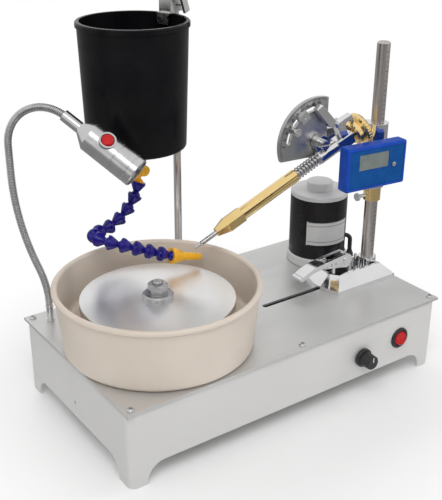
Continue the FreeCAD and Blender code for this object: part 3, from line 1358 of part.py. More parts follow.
def valve_body():
    """The drip valve: a neck through the bucket, a nut above, a body, and a ball for the hose."""
    nut_top = BUCKET_Z + BUCKET_WALL + VALVE_NUT_T
    body = turned(
        (0, VALVE_Z), (VALVE_R - 1, VALVE_Z), (VALVE_R, VALVE_Z + 1), (VALVE_R, VALVE_TOP - 1),
        (VALVE_R + 1.5, VALVE_TOP),
        (VALVE_R + 1.5, BUCKET_Z), (VALVE_NECK_R, BUCKET_Z), (VALVE_NECK_R, nut_top + 1), (0, nut_top + 1),
    )
    ball = Part.makeSphere(HOSE_BALL_R, V(0, 0, HOSE_START_Z))
    neck = rod(HOSE_NECK_R, HOSE_START_Z, VALVE_Z + 1)
    stem = bar(VALVE_STEM_R + 1.5, V(0, 0, VALVE_STEM_Z), Y_AXIS * -1, VALVE_R + VALVE_STEM_OUT)
    bore = rod(HOSE_BORE_R, HOSE_START_Z - HOSE_BALL_R - 1, nut_top + 2)
    seat = VALVE_R + VALVE_STEM_OUT - VALVE_STEM_IN
    socket = bar(VALVE_STEM_R + RUN_FIT, V(0, -seat, VALVE_STEM_Z), Y_AXIS * -1, VALVE_R)
    shape = joined(body, ball, neck, stem).cut([bore, socket])
    return at(shape, BUCKET_X, BUCKET_Y)


def valve_nut():
    low = BUCKET_Z + BUCKET_WALL
    hole = rod(VALVE_NECK_R + SCREW_FIT, low - 1, low + VALVE_NUT_T + 1)
    nut = hex_bar(VALVE_NUT_R, low, low + VALVE_NUT_T).cut(hole)
    return at(nut, BUCKET_X, BUCKET_Y)


def valve_handle():
    """A flat lever on the valve's stem, which swings down to close."""
    face = -VALVE_R - VALVE_STEM_OUT - MOVING_GAP
    stem = bar(VALVE_STEM_R, V(0, face, 0), Y_AXIS, VALVE_STEM_IN)
    hub = bar(HANDLE_W / 2 + 1, V(0, face - HANDLE_T, 0), Y_AXIS, HANDLE_T)
    half = HANDLE_W / 2
    wire = outline(
        (0, half), (0, -half), (-HANDLE_LEN + half, -half - 1),
        ((-HANDLE_LEN, 0), (-HANDLE_LEN + half, half + 1)),
    )
    paddle = plate_xz(wire, face - HANDLE_T, face - 1)
    return at(joined(stem, hub, paddle), BUCKET_X, BUCKET_Y, VALVE_STEM_Z)


# Jointed hose

def hose_link():
    """One link along +Z from its cup's centre: a flared cup, a neck and a ball one pitch on."""
    opening = math.sqrt(HOSE_CUP_R ** 2 - HOSE_LIP ** 2)
    front = HOSE_PITCH + 0.85 * HOSE_BALL_R
    outer = turned(
        (0, -HOSE_LIP), (HOSE_LIP_R - 0.5, -HOSE_LIP), (HOSE_LIP_R, 0.5 - HOSE_LIP), (HOSE_LIP_R, 1.0),
        (HOSE_NECK_R + 1.2, 6.8), (HOSE_NECK_R, 8.6), (HOSE_NECK_R, HOSE_PITCH), (0, HOSE_PITCH),
    )
    ball = Part.makeSphere(HOSE_BALL_R, V(0, 0, HOSE_PITCH)).common(rod(HOSE_BALL_R + 1, 0, front))
    cup = Part.makeSphere(HOSE_CUP_R)
    mouth = Part.makeCone(opening + 0.6, opening, 1.0, V(0, 0, -HOSE_LIP - 1))
    return joined(outer, ball).cut([cup, mouth, rod(HOSE_BORE_R, 0, front + 1)])


def hose_joints():
    """The centres of the hose's balls, from the valve to the nozzle."""
    joints = [V(BUCKET_X, BUCKET_Y, HOSE_START_Z)]
    for azimuth, dip in HOSE_RUN:
        joints.append(joints[-1] + heading(azimuth, dip) * HOSE_PITCH)
    return joints


def hose_links(first, last):
    link = hose_link()
    joints = hose_joints()
    return [moved(link, Place(joints[i], Rot(Z_AXIS, heading(*HOSE_RUN[i])))) for i in range(first, last)]


def nozzle():
    """The drip nozzle, whose collar takes the last ball."""
    opening = math.sqrt(HOSE_CUP_R ** 2 - HOSE_LIP ** 2)
    tip = NOZZLE_TIP_R
    shape = turned(
        (0, -HOSE_LIP), (NOZZLE_COLLAR_R, -HOSE_LIP), (NOZZLE_COLLAR_R, 1.5), (HOSE_LIP_R - 1, 7.0),
        (tip + 0.9, 13.0), (tip, NOZZLE_LEN - 1), (tip - 0.6, NOZZLE_LEN), (0, NOZZLE_LEN),
    )
    mouth = Part.makeCone(opening + 0.6, opening, 1.0, V(0, 0, -HOSE_LIP - 1))
    shape = shape.cut([Part.makeSphere(HOSE_CUP_R), mouth, rod(HOSE_BORE_R, 0, NOZZLE_LEN + 1)])
    return moved(shape, Place(hose_joints()[-1], Rot(Z_AXIS, heading(*NOZZLE_HEADING))))


# Lamp and its neck

NECK_WAY = heading(NECK_PLANE, 0)
NECK_SIDE = Z_AXIS.cross(NECK_WAY)


def neck_length():
    return sum(size if radius == 0 else radius * math.radians(abs(size)) for radius, size in NECK_RUN)


def neck_point(distance):
    """A point on the neck's middle line, and its lean from upright towards the lamp."""
    across, up, lean = 0.0, PLATE_TOP, 0.0
    for radius, size in NECK_RUN:
        length = size if radius == 0 else radius * math.radians(abs(size))
        part = min(distance, length)
        if radius == 0:
            across += part * math.sin(lean)
            up += part * math.cos(lean)
        else:
            bend = math.copysign(part / radius, size)
            sign = math.copysign(radius, size)
            across += sign * (math.cos(lean) - math.cos(lean + bend))
            up += sign * (math.sin(lean + bend) - math.sin(lean))
            lean += bend
        distance -= part
        if distance <= 0:
            break
    return V(NECK_X, NECK_Y, up) + NECK_WAY * across, lean


def neck_circle(distance, radius):
    point, lean = neck_point(distance)
    way = NECK_WAY * math.sin(lean) + Z_AXIS * math.cos(lean)
    axes = Rot(NECK_SIDE, way.cross(NECK_SIDE), way, "XYZ")
    circle = Part.makeCircle(radius)
    circle.Placement = Place(point, axes)
    return Part.Wire([circle])


def gooseneck():
    """The ribbed neck with its bore, and the plain ferrule with a nut that holds it in the plate."""
    start = NECK_FERRULE_H
    pitch = (neck_length() - start) / NECK_RIBS
    sections = []
    for i in range(NECK_RIBS):
        low = start + i * pitch
        for share, radius in ((0.0, NECK_VALLEY_R), (0.2, NECK_R), (0.7, NECK_R), (0.9, NECK_VALLEY_R)):
            sections.append((low + share * pitch, radius))
    neck = Part.makeLoft([neck_circle(d, r) for d, r in sections], True, True)
    bore = Part.makeLoft([neck_circle(d, NECK_BORE_R) for d, _ in sections[::4] + sections[-1:]], True, True)
    ferrule = ring(NECK_FERRULE_R, NECK_BORE_R, NECK_FERRULE_FOOT, PLATE_TOP + NECK_FERRULE_H, NECK_X, NECK_Y)
    nut = at(hex_bar(NECK_NUT_R, PLATE_Z - NECK_NUT_H, PLATE_Z), NECK_X, NECK_Y)
    nut = nut.cut(rod(NECK_FERRULE_R + SCREW_FIT, 0, PLATE_TOP, NECK_X, NECK_Y))
    return [neck.cut(bore), ferrule, nut]


# The lamp's frame has x along the beam and z square to the face of its switch

def lamp_place():
    point, lean = neck_point(neck_length())
    beam = NECK_WAY * math.sin(lean) + Z_AXIS * math.cos(lean)
    face = Rot(beam, LAMP_ROLL).multVec(NECK_SIDE.cross(beam) * -1)
    return Place(point, Rot(beam, face.cross(beam), face, "XYZ"))


def lamp_head():
    """A turned lamp body, hollow at the front, with a socket for its switch."""
    rear = -LAMP_NECK_IN
    neck = LAMP_NECK_LEN
    shoulder = neck + LAMP_CONE
    pit = LAMP_LEN - LAMP_PIT
    shell = turned(
        (0, rear), (LAMP_NECK_R, rear), (LAMP_NECK_R, neck), (LAMP_R, shoulder), (LAMP_R, LAMP_LEN - 1),
        (LAMP_R - 1, LAMP_LEN), (LAMP_R - LAMP_WALL, LAMP_LEN), (LAMP_R - LAMP_WALL, pit), (0, pit),
    )
    cuts = [rod(LAMP_NECK_BORE, rear - 1, LAMP_NECK_STOP)]
    cuts += [ring(LAMP_R + 1, LAMP_R - LAMP_GROOVE, z, z + 1.2) for z in LAMP_GROOVES]
    shell = lay_along_x(shell.cut(cuts))
    socket = rod(LAMP_SWITCH_R, LAMP_R - LAMP_SWITCH_DEEP, LAMP_R + LAMP_SWITCH_OUT, LAMP_SWITCH_AT)
    room = rod(LAMP_ROCKER_R + ROCKER_GAP, LAMP_R - LAMP_SWITCH_DEEP + 1, LAMP_R + 5, LAMP_SWITCH_AT)
    return moved(joined(shell, socket).cut(room), lamp_place())


def lamp_lens():
    back = LAMP_LEN - LAMP_LENS_IN - LAMP_LENS_T
    lens = bar(LAMP_R - LAMP_WALL - SEAT_FIT, V(back, 0, 0), X_AXIS, LAMP_LENS_T)
    return moved(lens, lamp_place())


def lamp_rocker():
    shape = moved(rocker(LAMP_ROCKER_R, 3.4), Place(V(), Rot(Y_AXIS, -ROCKER_LEAN)))
    return moved(at(shape, LAMP_SWITCH_AT, 0, LAMP_R - 0.5), lamp_place())


def build():
    os.makedirs("parts", exist_ok=True)
    save("base_housing", base_housing())
    save("bottom_cover", bottom_cover())
    save("top_plate", top_plate())
    save("case_screws", *case_screws())
    save("splash_bowl", splash_bowl())
    save("spindle_housing", spindle_housing())
    save("spindle_bearings", *spindle_bearings())
    save("lap_spindle", lap_spindle())
    save("lap_disc", lap_disc())
    save("lap_nut", lap_nut())
    save("spindle_pulley", pulley(SPINDLE_PULLEY_R, SPINDLE_R + SEAT_FIT, LAP_X, LAP_Y))
    save("motor_pulley", pulley(MOTOR_PULLEY_R, MOTOR_SHAFT_R + SEAT_FIT, MOTOR_X, MOTOR_Y))
    save("drive_belt", drive_belt())
    save("motor_end_bells", *motor_end_bells())
    save("motor_body", motor_body())
    save("motor_shaft", motor_shaft())
    save("motor_cable", motor_cable())
    save("speed_knob", speed_knob())
    save("speed_control", speed_control())
    save("switch_body", switch_body())
    save("switch_rocker", switch_rocker())
    save("mains_inlet", mains_inlet())
    save("power_supply", power_supply())
    save("mast_base", mast_base())
    save("mast", mast())
    save("clamp_stud", *clamp_stud())
    save("clamp_lever", clamp_lever())
    save("stop_collar", stop_collar())
    save("collar_screw", collar_screw())
    save("head_sleeve", head_sleeve())
    save("head_arm", head_arm())
    save("pivot_bush", pivot_bush())
    save("pivot_bolt", pivot_bolt())
    save("protractor", protractor())
    save("angle_stop", *angle_stop())
    save("gauge_case", gauge_case())
    save("gauge_button", gauge_button())
    save("quill_block", quill_block())
    save("index_lever", index_lever())
    save("quill_spindle", quill_spindle())
    save("index_wheel", index_wheel())
    save("quill_spring", quill_spring())
    save("quill_tube", quill_tube())
    save("collet_nut", collet_nut())
    save("dop_stick", dop_stick())
    save("bucket_rod", bucket_rod())
    save("rod_nuts", *rod_nuts())
    save("bucket", bucket())
    save("bucket_hanger", *bucket_hanger())
    save("valve_body", valve_body())
    save("valve_nut", valve_nut())
    save("valve_handle", valve_handle())
    save("hose_upper", *hose_links(0, HOSE_SPLIT))
    save("hose_lower", *hose_links(HOSE_SPLIT, len(HOSE_RUN)))
    save("nozzle", nozzle())
    save("gooseneck", *gooseneck())
    save("lamp_head", lamp_head())
    save("lamp_lens", lamp_lens())
    save("lamp_rocker", lamp_rocker())


build()
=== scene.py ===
import math
import bpy
from mathutils import Matrix, Vector


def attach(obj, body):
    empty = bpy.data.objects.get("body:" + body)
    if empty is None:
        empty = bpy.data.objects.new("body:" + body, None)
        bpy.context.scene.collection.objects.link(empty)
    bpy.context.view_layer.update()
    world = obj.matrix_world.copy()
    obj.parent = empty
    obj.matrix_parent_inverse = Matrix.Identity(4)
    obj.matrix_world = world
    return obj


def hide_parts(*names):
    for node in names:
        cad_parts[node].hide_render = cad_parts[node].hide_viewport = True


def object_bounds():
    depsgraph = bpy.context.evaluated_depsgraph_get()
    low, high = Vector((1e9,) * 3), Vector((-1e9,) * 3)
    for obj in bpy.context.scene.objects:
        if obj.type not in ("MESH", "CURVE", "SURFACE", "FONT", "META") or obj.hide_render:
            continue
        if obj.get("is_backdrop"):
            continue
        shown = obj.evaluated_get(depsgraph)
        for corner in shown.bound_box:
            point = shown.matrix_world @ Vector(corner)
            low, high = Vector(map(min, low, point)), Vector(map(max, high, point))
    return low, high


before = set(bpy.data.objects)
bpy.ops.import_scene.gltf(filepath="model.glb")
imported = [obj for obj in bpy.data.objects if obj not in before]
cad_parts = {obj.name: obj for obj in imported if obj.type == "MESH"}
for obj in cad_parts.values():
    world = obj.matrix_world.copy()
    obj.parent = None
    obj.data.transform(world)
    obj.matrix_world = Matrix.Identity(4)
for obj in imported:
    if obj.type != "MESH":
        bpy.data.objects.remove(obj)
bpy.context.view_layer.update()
bpy.ops.object.select_all(action="DESELECT")

# Case housing and cover: a folded steel box on four corner feet with a screwed-on sheet below,
# powder coated in pale satin grey with a faint orange-peel texture.
HOUSING_GREY = (0.665, 0.66, 0.65)
HOUSING_GREY_DULL = (0.625, 0.62, 0.61)
EDGE_SAMPLES = 6


def shader_of(mat):
    return mat.node_tree.nodes["Principled BSDF"]


def finish(name, colour, rough, metal=0.0):
    mat = bpy.data.materials.new(name)
    mat.use_nodes = True
    shader_of(mat).inputs["Base Color"].default_value = (*colour, 1.0)
    shader_of(mat).inputs["Roughness"].default_value = rough
    shader_of(mat).inputs["Metallic"].default_value = metal
    return mat


def step(mat, kind, values=None, **settings):
    """Adds one node to a finish, with its settings and the values of its sockets."""
    made = mat.node_tree.nodes.new("ShaderNode" + kind)
    for key, value in settings.items():
        setattr(made, key, value)
    for key, value in (values or {}).items():
        made.inputs[key].default_value = value
    return made


def link(mat, source, target):
    mat.node_tree.links.new(source, target)


def spot_on(mat, place=None, stretch=(1, 1, 1)):
    """Object coordinates, seen from a place on the piece and drawn out along its axes."""
    coords = step(mat, "TexCoord")
    mapping = step(mat, "Mapping", vector_type="TEXTURE")
    place = place or Matrix.Identity(4)
    mapping.inputs["Location"].default_value = place.to_translation()
    mapping.inputs["Rotation"].default_value = place.to_euler("XYZ")
    mapping.inputs["Scale"].default_value = stretch
    link(mat, coords.outputs["Object"], mapping.inputs["Vector"])
    return mapping.outputs["Vector"]


def mottle(mat, low, high, size, place=None, stretch=(1, 1, 1)):
    """Lets the colour drift between two shades in patches of about a size."""
    noise = step(mat, "TexNoise", {"Scale": 1.0 / size, "Detail": 3.0})
    ramp = step(mat, "ValToRGB")
    first, last = ramp.color_ramp.elements
    first.position = 0.35
    last.position = 0.65
    first.color = (*low, 1.0)
    last.color = (*high, 1.0)
    link(mat, spot_on(mat, place, stretch), noise.inputs["Vector"])
    link(mat, noise.outputs["Fac"], ramp.inputs["Fac"])
    link(mat, ramp.outputs["Color"], shader_of(mat).inputs["Base Color"])


def uneven(mat, low, high, size, place=None, stretch=(1, 1, 1)):
    """Lets the gloss drift, as handling and wiping leave it."""
    noise = step(mat, "TexNoise", {"Scale": 1.0 / size, "Detail": 4.0})
    span = step(mat, "MapRange", {"From Min": 0.3, "From Max": 0.7, "To Min": low, "To Max": high})
    link(mat, spot_on(mat, place, stretch), noise.inputs["Vector"])
    link(mat, noise.outputs["Fac"], span.inputs["Value"])
    link(mat, span.outputs["Result"], shader_of(mat).inputs["Roughness"])


def break_edges(mat, radius, bump):
    """Shades the edges as if a small radius broke them, under the grain."""
    rounding = step(mat, "Bevel", {"Radius": radius}, samples=EDGE_SAMPLES)
    link(mat, rounding.outputs["Normal"], bump.inputs["Normal"])


def relief(mat, size, depth, stretch=(1, 1, 1), edge=0.0):
    """A fine raised grain, on edges that are broken by a small radius."""
    noise = step(mat, "TexNoise", {"Scale": 1.0 / size, "Detail": 2.0})
    bump = step(mat, "Bump", {"Strength": 1.0, "Distance": depth})
    link(mat, spot_on(mat, stretch=stretch), noise.inputs["Vector"])
    link(mat, noise.outputs["Fac"], bump.inputs["Height"])
    if edge:
        break_edges(mat, edge, bump)
    link(mat, bump.outputs["Normal"], shader_of(mat).inputs["Normal"])


def dress(mat, *nodes):
    for name in nodes:
        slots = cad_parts[name].data.materials
        slots.clear()
        slots.append(mat)


powder_coat = finish("powder_coat", HOUSING_GREY, 0.42)
mottle(powder_coat, HOUSING_GREY_DULL, HOUSING_GREY, 0.16)
uneven(powder_coat, 0.36, 0.48, 0.05)
relief(powder_coat, 0.0011, 0.00004, edge=0.0007)
dress(powder_coat, "base_housing", "bottom_cover")

# Top plate: one aluminium sheet laid on the housing, satin brushed along its length,
# with a long slot for the mast's clamp and plated screws along its edges.
PLATE_GREY = (0.70, 0.70, 0.69)
PLATE_GREY_DULL = (0.65, 0.65, 0.645)
ZINC_GREY = (0.66, 0.67, 0.68)

satin_plate = finish("satin_plate", PLATE_GREY, 0.40, 0.72)
mottle(satin_plate, PLATE_GREY_DULL, PLATE_GREY, 0.11)
uneven(satin_plate, 0.36, 0.50, 0.02, stretch=(14, 1, 1))
relief(satin_plate, 0.0006, 0.000012, stretch=(40, 1, 1), edge=0.0004)
dress(satin_plate, "top_plate")

zinc_plate = finish("zinc_plate", ZINC_GREY, 0.24, 1.0)
mottle(zinc_plate, (0.55, 0.56, 0.58), ZINC_GREY, 0.002)
uneven(zinc_plate, 0.18, 0.34, 0.0012)
relief(zinc_plate, 0.0004, 0.00001, edge=0.0003)
dress(zinc_plate, "case_screws", "rod_nuts")

# Mains inlet, power supply and speed control: the inlet is moulded in black, the supply is a
# folded sheet case, and the green board carries the potentiometer behind the front panel.
MOULD_BLACK = (0.016, 0.016, 0.017)
SHEET_GREY = (0.60, 0.61, 0.62)
BOARD_GREEN = (0.012, 0.11, 0.04)

moulded_black = finish("moulded_black", MOULD_BLACK, 0.36)
mottle(moulded_black, (0.011, 0.011, 0.012), (0.022, 0.022, 0.023), 0.012)
uneven(moulded_black, 0.30, 0.45, 0.004)
relief(moulded_black, 0.0005, 0.00002, edge=0.0003)
dress(moulded_black, "mains_inlet", "switch_body", "speed_knob")

folded_sheet = finish("folded_sheet", SHEET_GREY, 0.34, 1.0)
mottle(folded_sheet, (0.52, 0.53, 0.55), SHEET_GREY, 0.009)
uneven(folded_sheet, 0.28, 0.46, 0.01, stretch=(8, 1, 1))
dress(folded_sheet, "power_supply", "spindle_pulley", "motor_pulley")

lacquered_board = finish("lacquered_board", BOARD_GREEN, 0.3)
mottle(lacquered_board, (0.008, 0.07, 0.028), (0.02, 0.15, 0.05), 0.004)
relief(lacquered_board, 0.0015, 0.00005)
dress(lacquered_board, "speed_control")

# Speed knob's pointer: a white filled line in the moulded knob's face,
# from near the middle out to its rim.
KNOB_AXIS = Vector((0.083, -0.1045, 0.045))
KNOB_FACE = 0.0186
POINTER_START = 0.0012
POINTER_SIZE = (0.0009, 0.0052, 0.0008)
POINTER_EDGE = 0.0002
# Stands up what is made lying flat, so that it faces out of the front panel.
PANEL = Matrix(((1, 0, 0, 0), (0, 0, -1, 0), (0, 1, 0, 0), (0, 0, 0, 1)))


def only(obj):
    bpy.ops.object.select_all(action="DESELECT")
    obj.select_set(True)
    bpy.context.view_layer.objects.active = obj


def settle(obj):
    """Puts an object's own place, turn and scale into its mesh."""
    only(obj)
    bpy.ops.object.transform_apply(location=True, rotation=True, scale=True)


def round_edges(obj, radius, segments=2):
    only(obj)
    bpy.ops.object.mode_set(mode="EDIT")
    bpy.ops.mesh.select_all(action="SELECT")
    bpy.ops.mesh.bevel(offset=radius, segments=segments, affect="EDGES")
    bpy.ops.object.mode_set(mode="OBJECT")


def block(name, size, centre, edge=0.0, segments=2):
    """A box of a size, its edges rounded, with its place in its mesh."""
    bpy.ops.object.select_all(action="DESELECT")
    bpy.ops.mesh.primitive_cube_add(size=1.0, location=centre)
    obj = bpy.context.object
    obj.name = name
    obj.scale = size
    settle(obj)
    if edge:
        round_edges(obj, edge, segments)
    return obj


def paint(obj, mat):
    obj.data.materials.clear()
    obj.data.materials.append(mat)


def set_down(obj, place, body, mat):
    """Puts a piece's place into its mesh, gives it its finish, and lets it ride on a body."""
    settle(obj)
    obj.data.transform(place)
    obj.data.update()
    paint(obj, mat)
    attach(obj, body)


ink_white = finish("ink_white", (0.78, 0.78, 0.77), 0.5)
mottle(ink_white, (0.70, 0.70, 0.69), (0.80, 0.80, 0.79), 0.001)
pointer_middle = (0, POINTER_SIZE[1] / 2 + POINTER_START, KNOB_FACE)
pointer = block("knob_pointer", POINTER_SIZE, pointer_middle, POINTER_EDGE)
set_down(pointer, Matrix.Translation(KNOB_AXIS) @ PANEL, "knob", ink_white)

# Power switch: a round snap-in rocker of clear red plastic in a black bezel,
# the same kind as the small one on the lamp.
ROCKER_RED = (0.54, 0.010, 0.014)


def shine(mat, level):
    shader_of(mat).inputs["Specular IOR Level"].default_value = level


def let_light_in(mat, share, depth):
    """Plastic that light enters a little way before it comes out again."""
    shader_of(mat).inputs["Subsurface Weight"].default_value = share
    shader_of(mat).inputs["Subsurface Scale"].default_value = depth


rocker_red = finish("rocker_red", ROCKER_RED, 0.16)
mottle(rocker_red, (0.47, 0.007, 0.010), (0.59, 0.014, 0.018), 0.004)
uneven(rocker_red, 0.10, 0.24, 0.002)
shine(rocker_red, 0.3)
let_light_in(rocker_red, 0.15, 0.002)
relief(rocker_red, 0.0011, 0.00003, edge=0.0003)
dress(rocker_red, "switch_rocker", "lamp_rocker")

# Splash bowl: a thick cream moulding on a hollow skirt, satin all over with faint
# yellowed patches, screwed to the plate through its floor.
BOWL_CREAM = (0.69, 0.61, 0.53)
BOWL_CREAM_DULL = (0.645, 0.565, 0.485)

cream_mould = finish("cream_mould", BOWL_CREAM, 0.40)
mottle(cream_mould, BOWL_CREAM_DULL, BOWL_CREAM, 0.07)
uneven(cream_mould, 0.34, 0.46, 0.03)
let_light_in(cream_mould, 0.06, 0.004)
relief(cream_mould, 0.0016, 0.00003, edge=0.0008)
dress(cream_mould, "splash_bowl")

# Spindle, its housing and bearings: ground and turned steel, hidden under the bowl
# but for the stud that comes up through the lap.
LAP_AXIS = Matrix.Translation((-0.1033, -0.0138, 0.0))
TURNED_STEEL = (0.50, 0.50, 0.505)
TURNED_EDGE = 0.0003
# A wave texture runs through this many radians for each unit of its scale.
WAVE_RADIANS = 20


def turning(mat, pitch, depth, place, direction="Z"):
    """The fine grooves that a lathe tool leaves round an axis."""
    scale = 2 * math.pi / (WAVE_RADIANS * pitch)
    rings = step(mat, "TexWave", {"Scale": scale, "Distortion": 1.2, "Detail": 2.0},
                 wave_type="BANDS", bands_direction=direction)
    bump = step(mat, "Bump", {"Strength": 1.0, "Distance": depth})
    link(mat, spot_on(mat, place), rings.inputs["Vector"])
    link(mat, rings.outputs["Fac"], bump.inputs["Height"])
    break_edges(mat, TURNED_EDGE, bump)
    link(mat, bump.outputs["Normal"], shader_of(mat).inputs["Normal"])


turned_steel = finish("turned_steel", TURNED_STEEL, 0.28, 1.0)
mottle(turned_steel, (0.44, 0.44, 0.445), TURNED_STEEL, 0.006)
uneven(turned_steel, 0.24, 0.33, 0.004)
turning(turned_steel, 0.0006, 0.000001, LAP_AXIS)
dress(turned_steel, "spindle_housing", "spindle_bearings", "lap_spindle", "lap_nut", "motor_shaft")

# Lap: a cast aluminium disc faced on a lathe, so its bright face throws light in fans
# from the middle, with faint grey patches where stones have run.
LAP_BRIGHT = (0.96, 0.96, 0.96)
LAP_DULL = (0.92, 0.92, 0.92)
LATHE_SHEEN = 0.85

faced_lap = finish("faced_lap", LAP_BRIGHT, 0.34, 1.0)
mottle(faced_lap, LAP_DULL, LAP_BRIGHT, 0.04, place=LAP_AXIS)
uneven(faced_lap, 0.31, 0.37, 0.03, place=LAP_AXIS)
shader_of(faced_lap).inputs["Anisotropic"].default_value = LATHE_SHEEN
radial = step(faced_lap, "Tangent", direction_type="RADIAL", axis="Z")
link(faced_lap, radial.outputs["Tangent"], shader_of(faced_lap).inputs["Tangent"])
dress(faced_lap, "lap_disc")

# Drive belt: a flat rubber loop moulded in one piece,
# stretched over the motor's pulley and the spindle's under the plate.
BELT_BLACK = (0.018, 0.018, 0.019)

belt_rubber = finish("belt_rubber", BELT_BLACK, 0.7)
mottle(belt_rubber, (0.012, 0.012, 0.012), (0.028, 0.028, 0.028), 0.003)
relief(belt_rubber, 0.0008, 0.00008)
dress(belt_rubber, "drive_belt")

# Motor: a black enamelled steel can between a pale grey flange and cap,
# bolted to the plate from below.
ENAMEL_BLACK = (0.010, 0.009, 0.011)
END_GREY = (0.70, 0.70, 0.70)

enamel_black = finish("enamel_black", ENAMEL_BLACK, 0.22)
mottle(enamel_black, (0.008, 0.007, 0.009), (0.013, 0.012, 0.014), 0.02)
uneven(enamel_black, 0.17, 0.30, 0.012)
shine(enamel_black, 0.3)
relief(enamel_black, 0.002, 0.00004, edge=0.0004)
dress(enamel_black, "motor_body")

cast_end = finish("cast_end", END_GREY, 0.42, 0.25)
mottle(cast_end, (0.62, 0.62, 0.63), END_GREY, 0.02)
uneven(cast_end, 0.36, 0.5, 0.01)
relief(cast_end, 0.0012, 0.00005, edge=0.0006)
dress(cast_end, "motor_end_bells")

# Motor's rating plate: a thin silver foil stuck round the can,
# ruled across in black ink.
MOTOR_AXIS = Matrix.Translation((0.152, 0.048, 0.0))
PLATE_FROM = math.radians(-153)
PLATE_TO = math.radians(-62)
PLATE_LOW = 0.109
PLATE_HIGH = 0.138
PLATE_RADIUS = 0.03258
PLATE_THICK = 0.00015
RULES = ((0.0, 0.0009), (0.0048, 0.0053), (0.0238, 0.0243), (0.0281, 0.029))
RULE_LIFT = 0.00016
RULE_THICK = 0.00004
# Radians by which each rule stops short of the foil's ends.
RULE_SHORTER = 0.02
FOIL_SIDES = 180
CREASE = math.radians(35)


def pick_faces(obj, wanted):
    """Opens a mesh for editing with only the wanted faces selected."""
    bpy.ops.object.mode_set(mode="EDIT")
    bpy.ops.mesh.select_mode(type="FACE")
    bpy.ops.mesh.select_all(action="DESELECT")
    bpy.ops.object.mode_set(mode="OBJECT")
    for face in obj.data.polygons:
        face.select = wanted(face)
    bpy.ops.object.mode_set(mode="EDIT")


def wrapped_foil(name, radius, low, high, start, end, thick):
    """A strip of foil round an upright can, cut from a tube between two bearings."""
    bpy.ops.object.select_all(action="DESELECT")
    bpy.ops.mesh.primitive_cylinder_add(vertices=FOIL_SIDES, radius=radius, depth=high - low,
                                        end_fill_type="NOTHING", location=(0, 0, (low + high) / 2))
    obj = bpy.context.object
    obj.name = name
    settle(obj)
    pick_faces(obj, lambda face: not start < math.atan2(face.center.y, face.center.x) < end)
    bpy.ops.mesh.delete(type="FACE")
    bpy.ops.object.mode_set(mode="OBJECT")
    wall = obj.modifiers.new("wall", "SOLIDIFY")
    wall.thickness = thick
    wall.offset = 1.0
    bpy.ops.object.modifier_apply(modifier="wall")
    bpy.ops.object.shade_smooth_by_angle(angle=CREASE)
    return obj


foil_silver = finish("foil_silver", (0.62, 0.62, 0.62), 0.4, 0.2)
mottle(foil_silver, (0.58, 0.58, 0.58), (0.65, 0.65, 0.65), 0.02, place=MOTOR_AXIS)
uneven(foil_silver, 0.36, 0.45, 0.01)
rating_plate = wrapped_foil("rating_plate", PLATE_RADIUS, PLATE_LOW, PLATE_HIGH,
                            PLATE_FROM, PLATE_TO, PLATE_THICK)
set_down(rating_plate, MOTOR_AXIS, "case", foil_silver)

ink_black = finish("ink_black", (0.02, 0.02, 0.02), 0.5)
mottle(ink_black, (0.012, 0.012, 0.012), (0.03, 0.03, 0.03), 0.001)
for number, (low, high) in enumerate(RULES):
    rule = wrapped_foil("rating_line_%d" % number, PLATE_RADIUS + RULE_LIFT,
                        PLATE_LOW + low, PLATE_LOW + high,
                        PLATE_FROM + RULE_SHORTER, PLATE_TO - RULE_SHORTER, RULE_THICK)
    set_down(rule, MOTOR_AXIS, "case", ink_black)

# Motor's cable: a short black lead from the can's side down through a moulded
# rubber sleeve in the plate.
CABLE_BEARING = math.radians(-35.5)
CABLE_OUT = Vector((math.cos(CABLE_BEARING), math.sin(CABLE_BEARING), 0.0))
CABLE_AT = MOTOR_AXIS.to_translation()
CABLE_ROUTE = (
    CABLE_AT + CABLE_OUT * 0.0300 + Vector((0, 0, 0.110)),
    CABLE_AT + CABLE_OUT * 0.0385 + Vector((0, 0, 0.110)),
    CABLE_AT + CABLE_OUT * 0.0390 + Vector((0, 0, 0.098)),
    CABLE_AT + CABLE_OUT * 0.0390 + Vector((0, 0, 0.0705)),
)
CABLE_DIAMETER = 0.005
SLEEVE_OUT = 0.0390
SLEEVE_RADIUS = 0.0045
SLEEVE_HEIGHT = 0.0062
SLEEVE_MIDDLE = 0.0841
SLEEVE_SIDES = 32
SLEEVE_SHOULDER = 0.0008
SLEEVE_NECK = 0.0035
SLEEVE_TAPER = 0.86
SLEEVE_EDGE = 0.0003


def rod(name, radius, length, centre, sides):
    """An upright round bar with its place in its mesh."""
    bpy.ops.object.select_all(action="DESELECT")
    bpy.ops.mesh.primitive_cylinder_add(vertices=sides, radius=radius, depth=length, location=centre)
    obj = bpy.context.object
    obj.name = name
    settle(obj)
    return obj


cable_rubber = finish("cable_rubber", (0.020, 0.020, 0.021), 0.45)
mottle(cable_rubber, (0.014, 0.014, 0.015), (0.028, 0.028, 0.029), 0.004)
uneven(cable_rubber, 0.38, 0.55, 0.003)
relief(cable_rubber, 0.0009, 0.00003)

lead = bpy.data.curves.new("motor_lead", "CURVE")
lead.dimensions = "3D"
run = lead.splines.new("NURBS")
run.points.add(len(CABLE_ROUTE) - 1)
for point, where in zip(run.points, CABLE_ROUTE):
    point.co = (*where, 1.0)
run.order_u = 3
run.use_endpoint_u = True
lead.bevel_depth = CABLE_DIAMETER / 2
lead.bevel_resolution = 6
lead.use_fill_caps = True
lead.resolution_u = 16
motor_lead = bpy.data.objects.new("motor_lead", lead)
bpy.context.scene.collection.objects.link(motor_lead)
paint(motor_lead, cable_rubber)
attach(motor_lead, "case")
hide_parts("motor_cable")

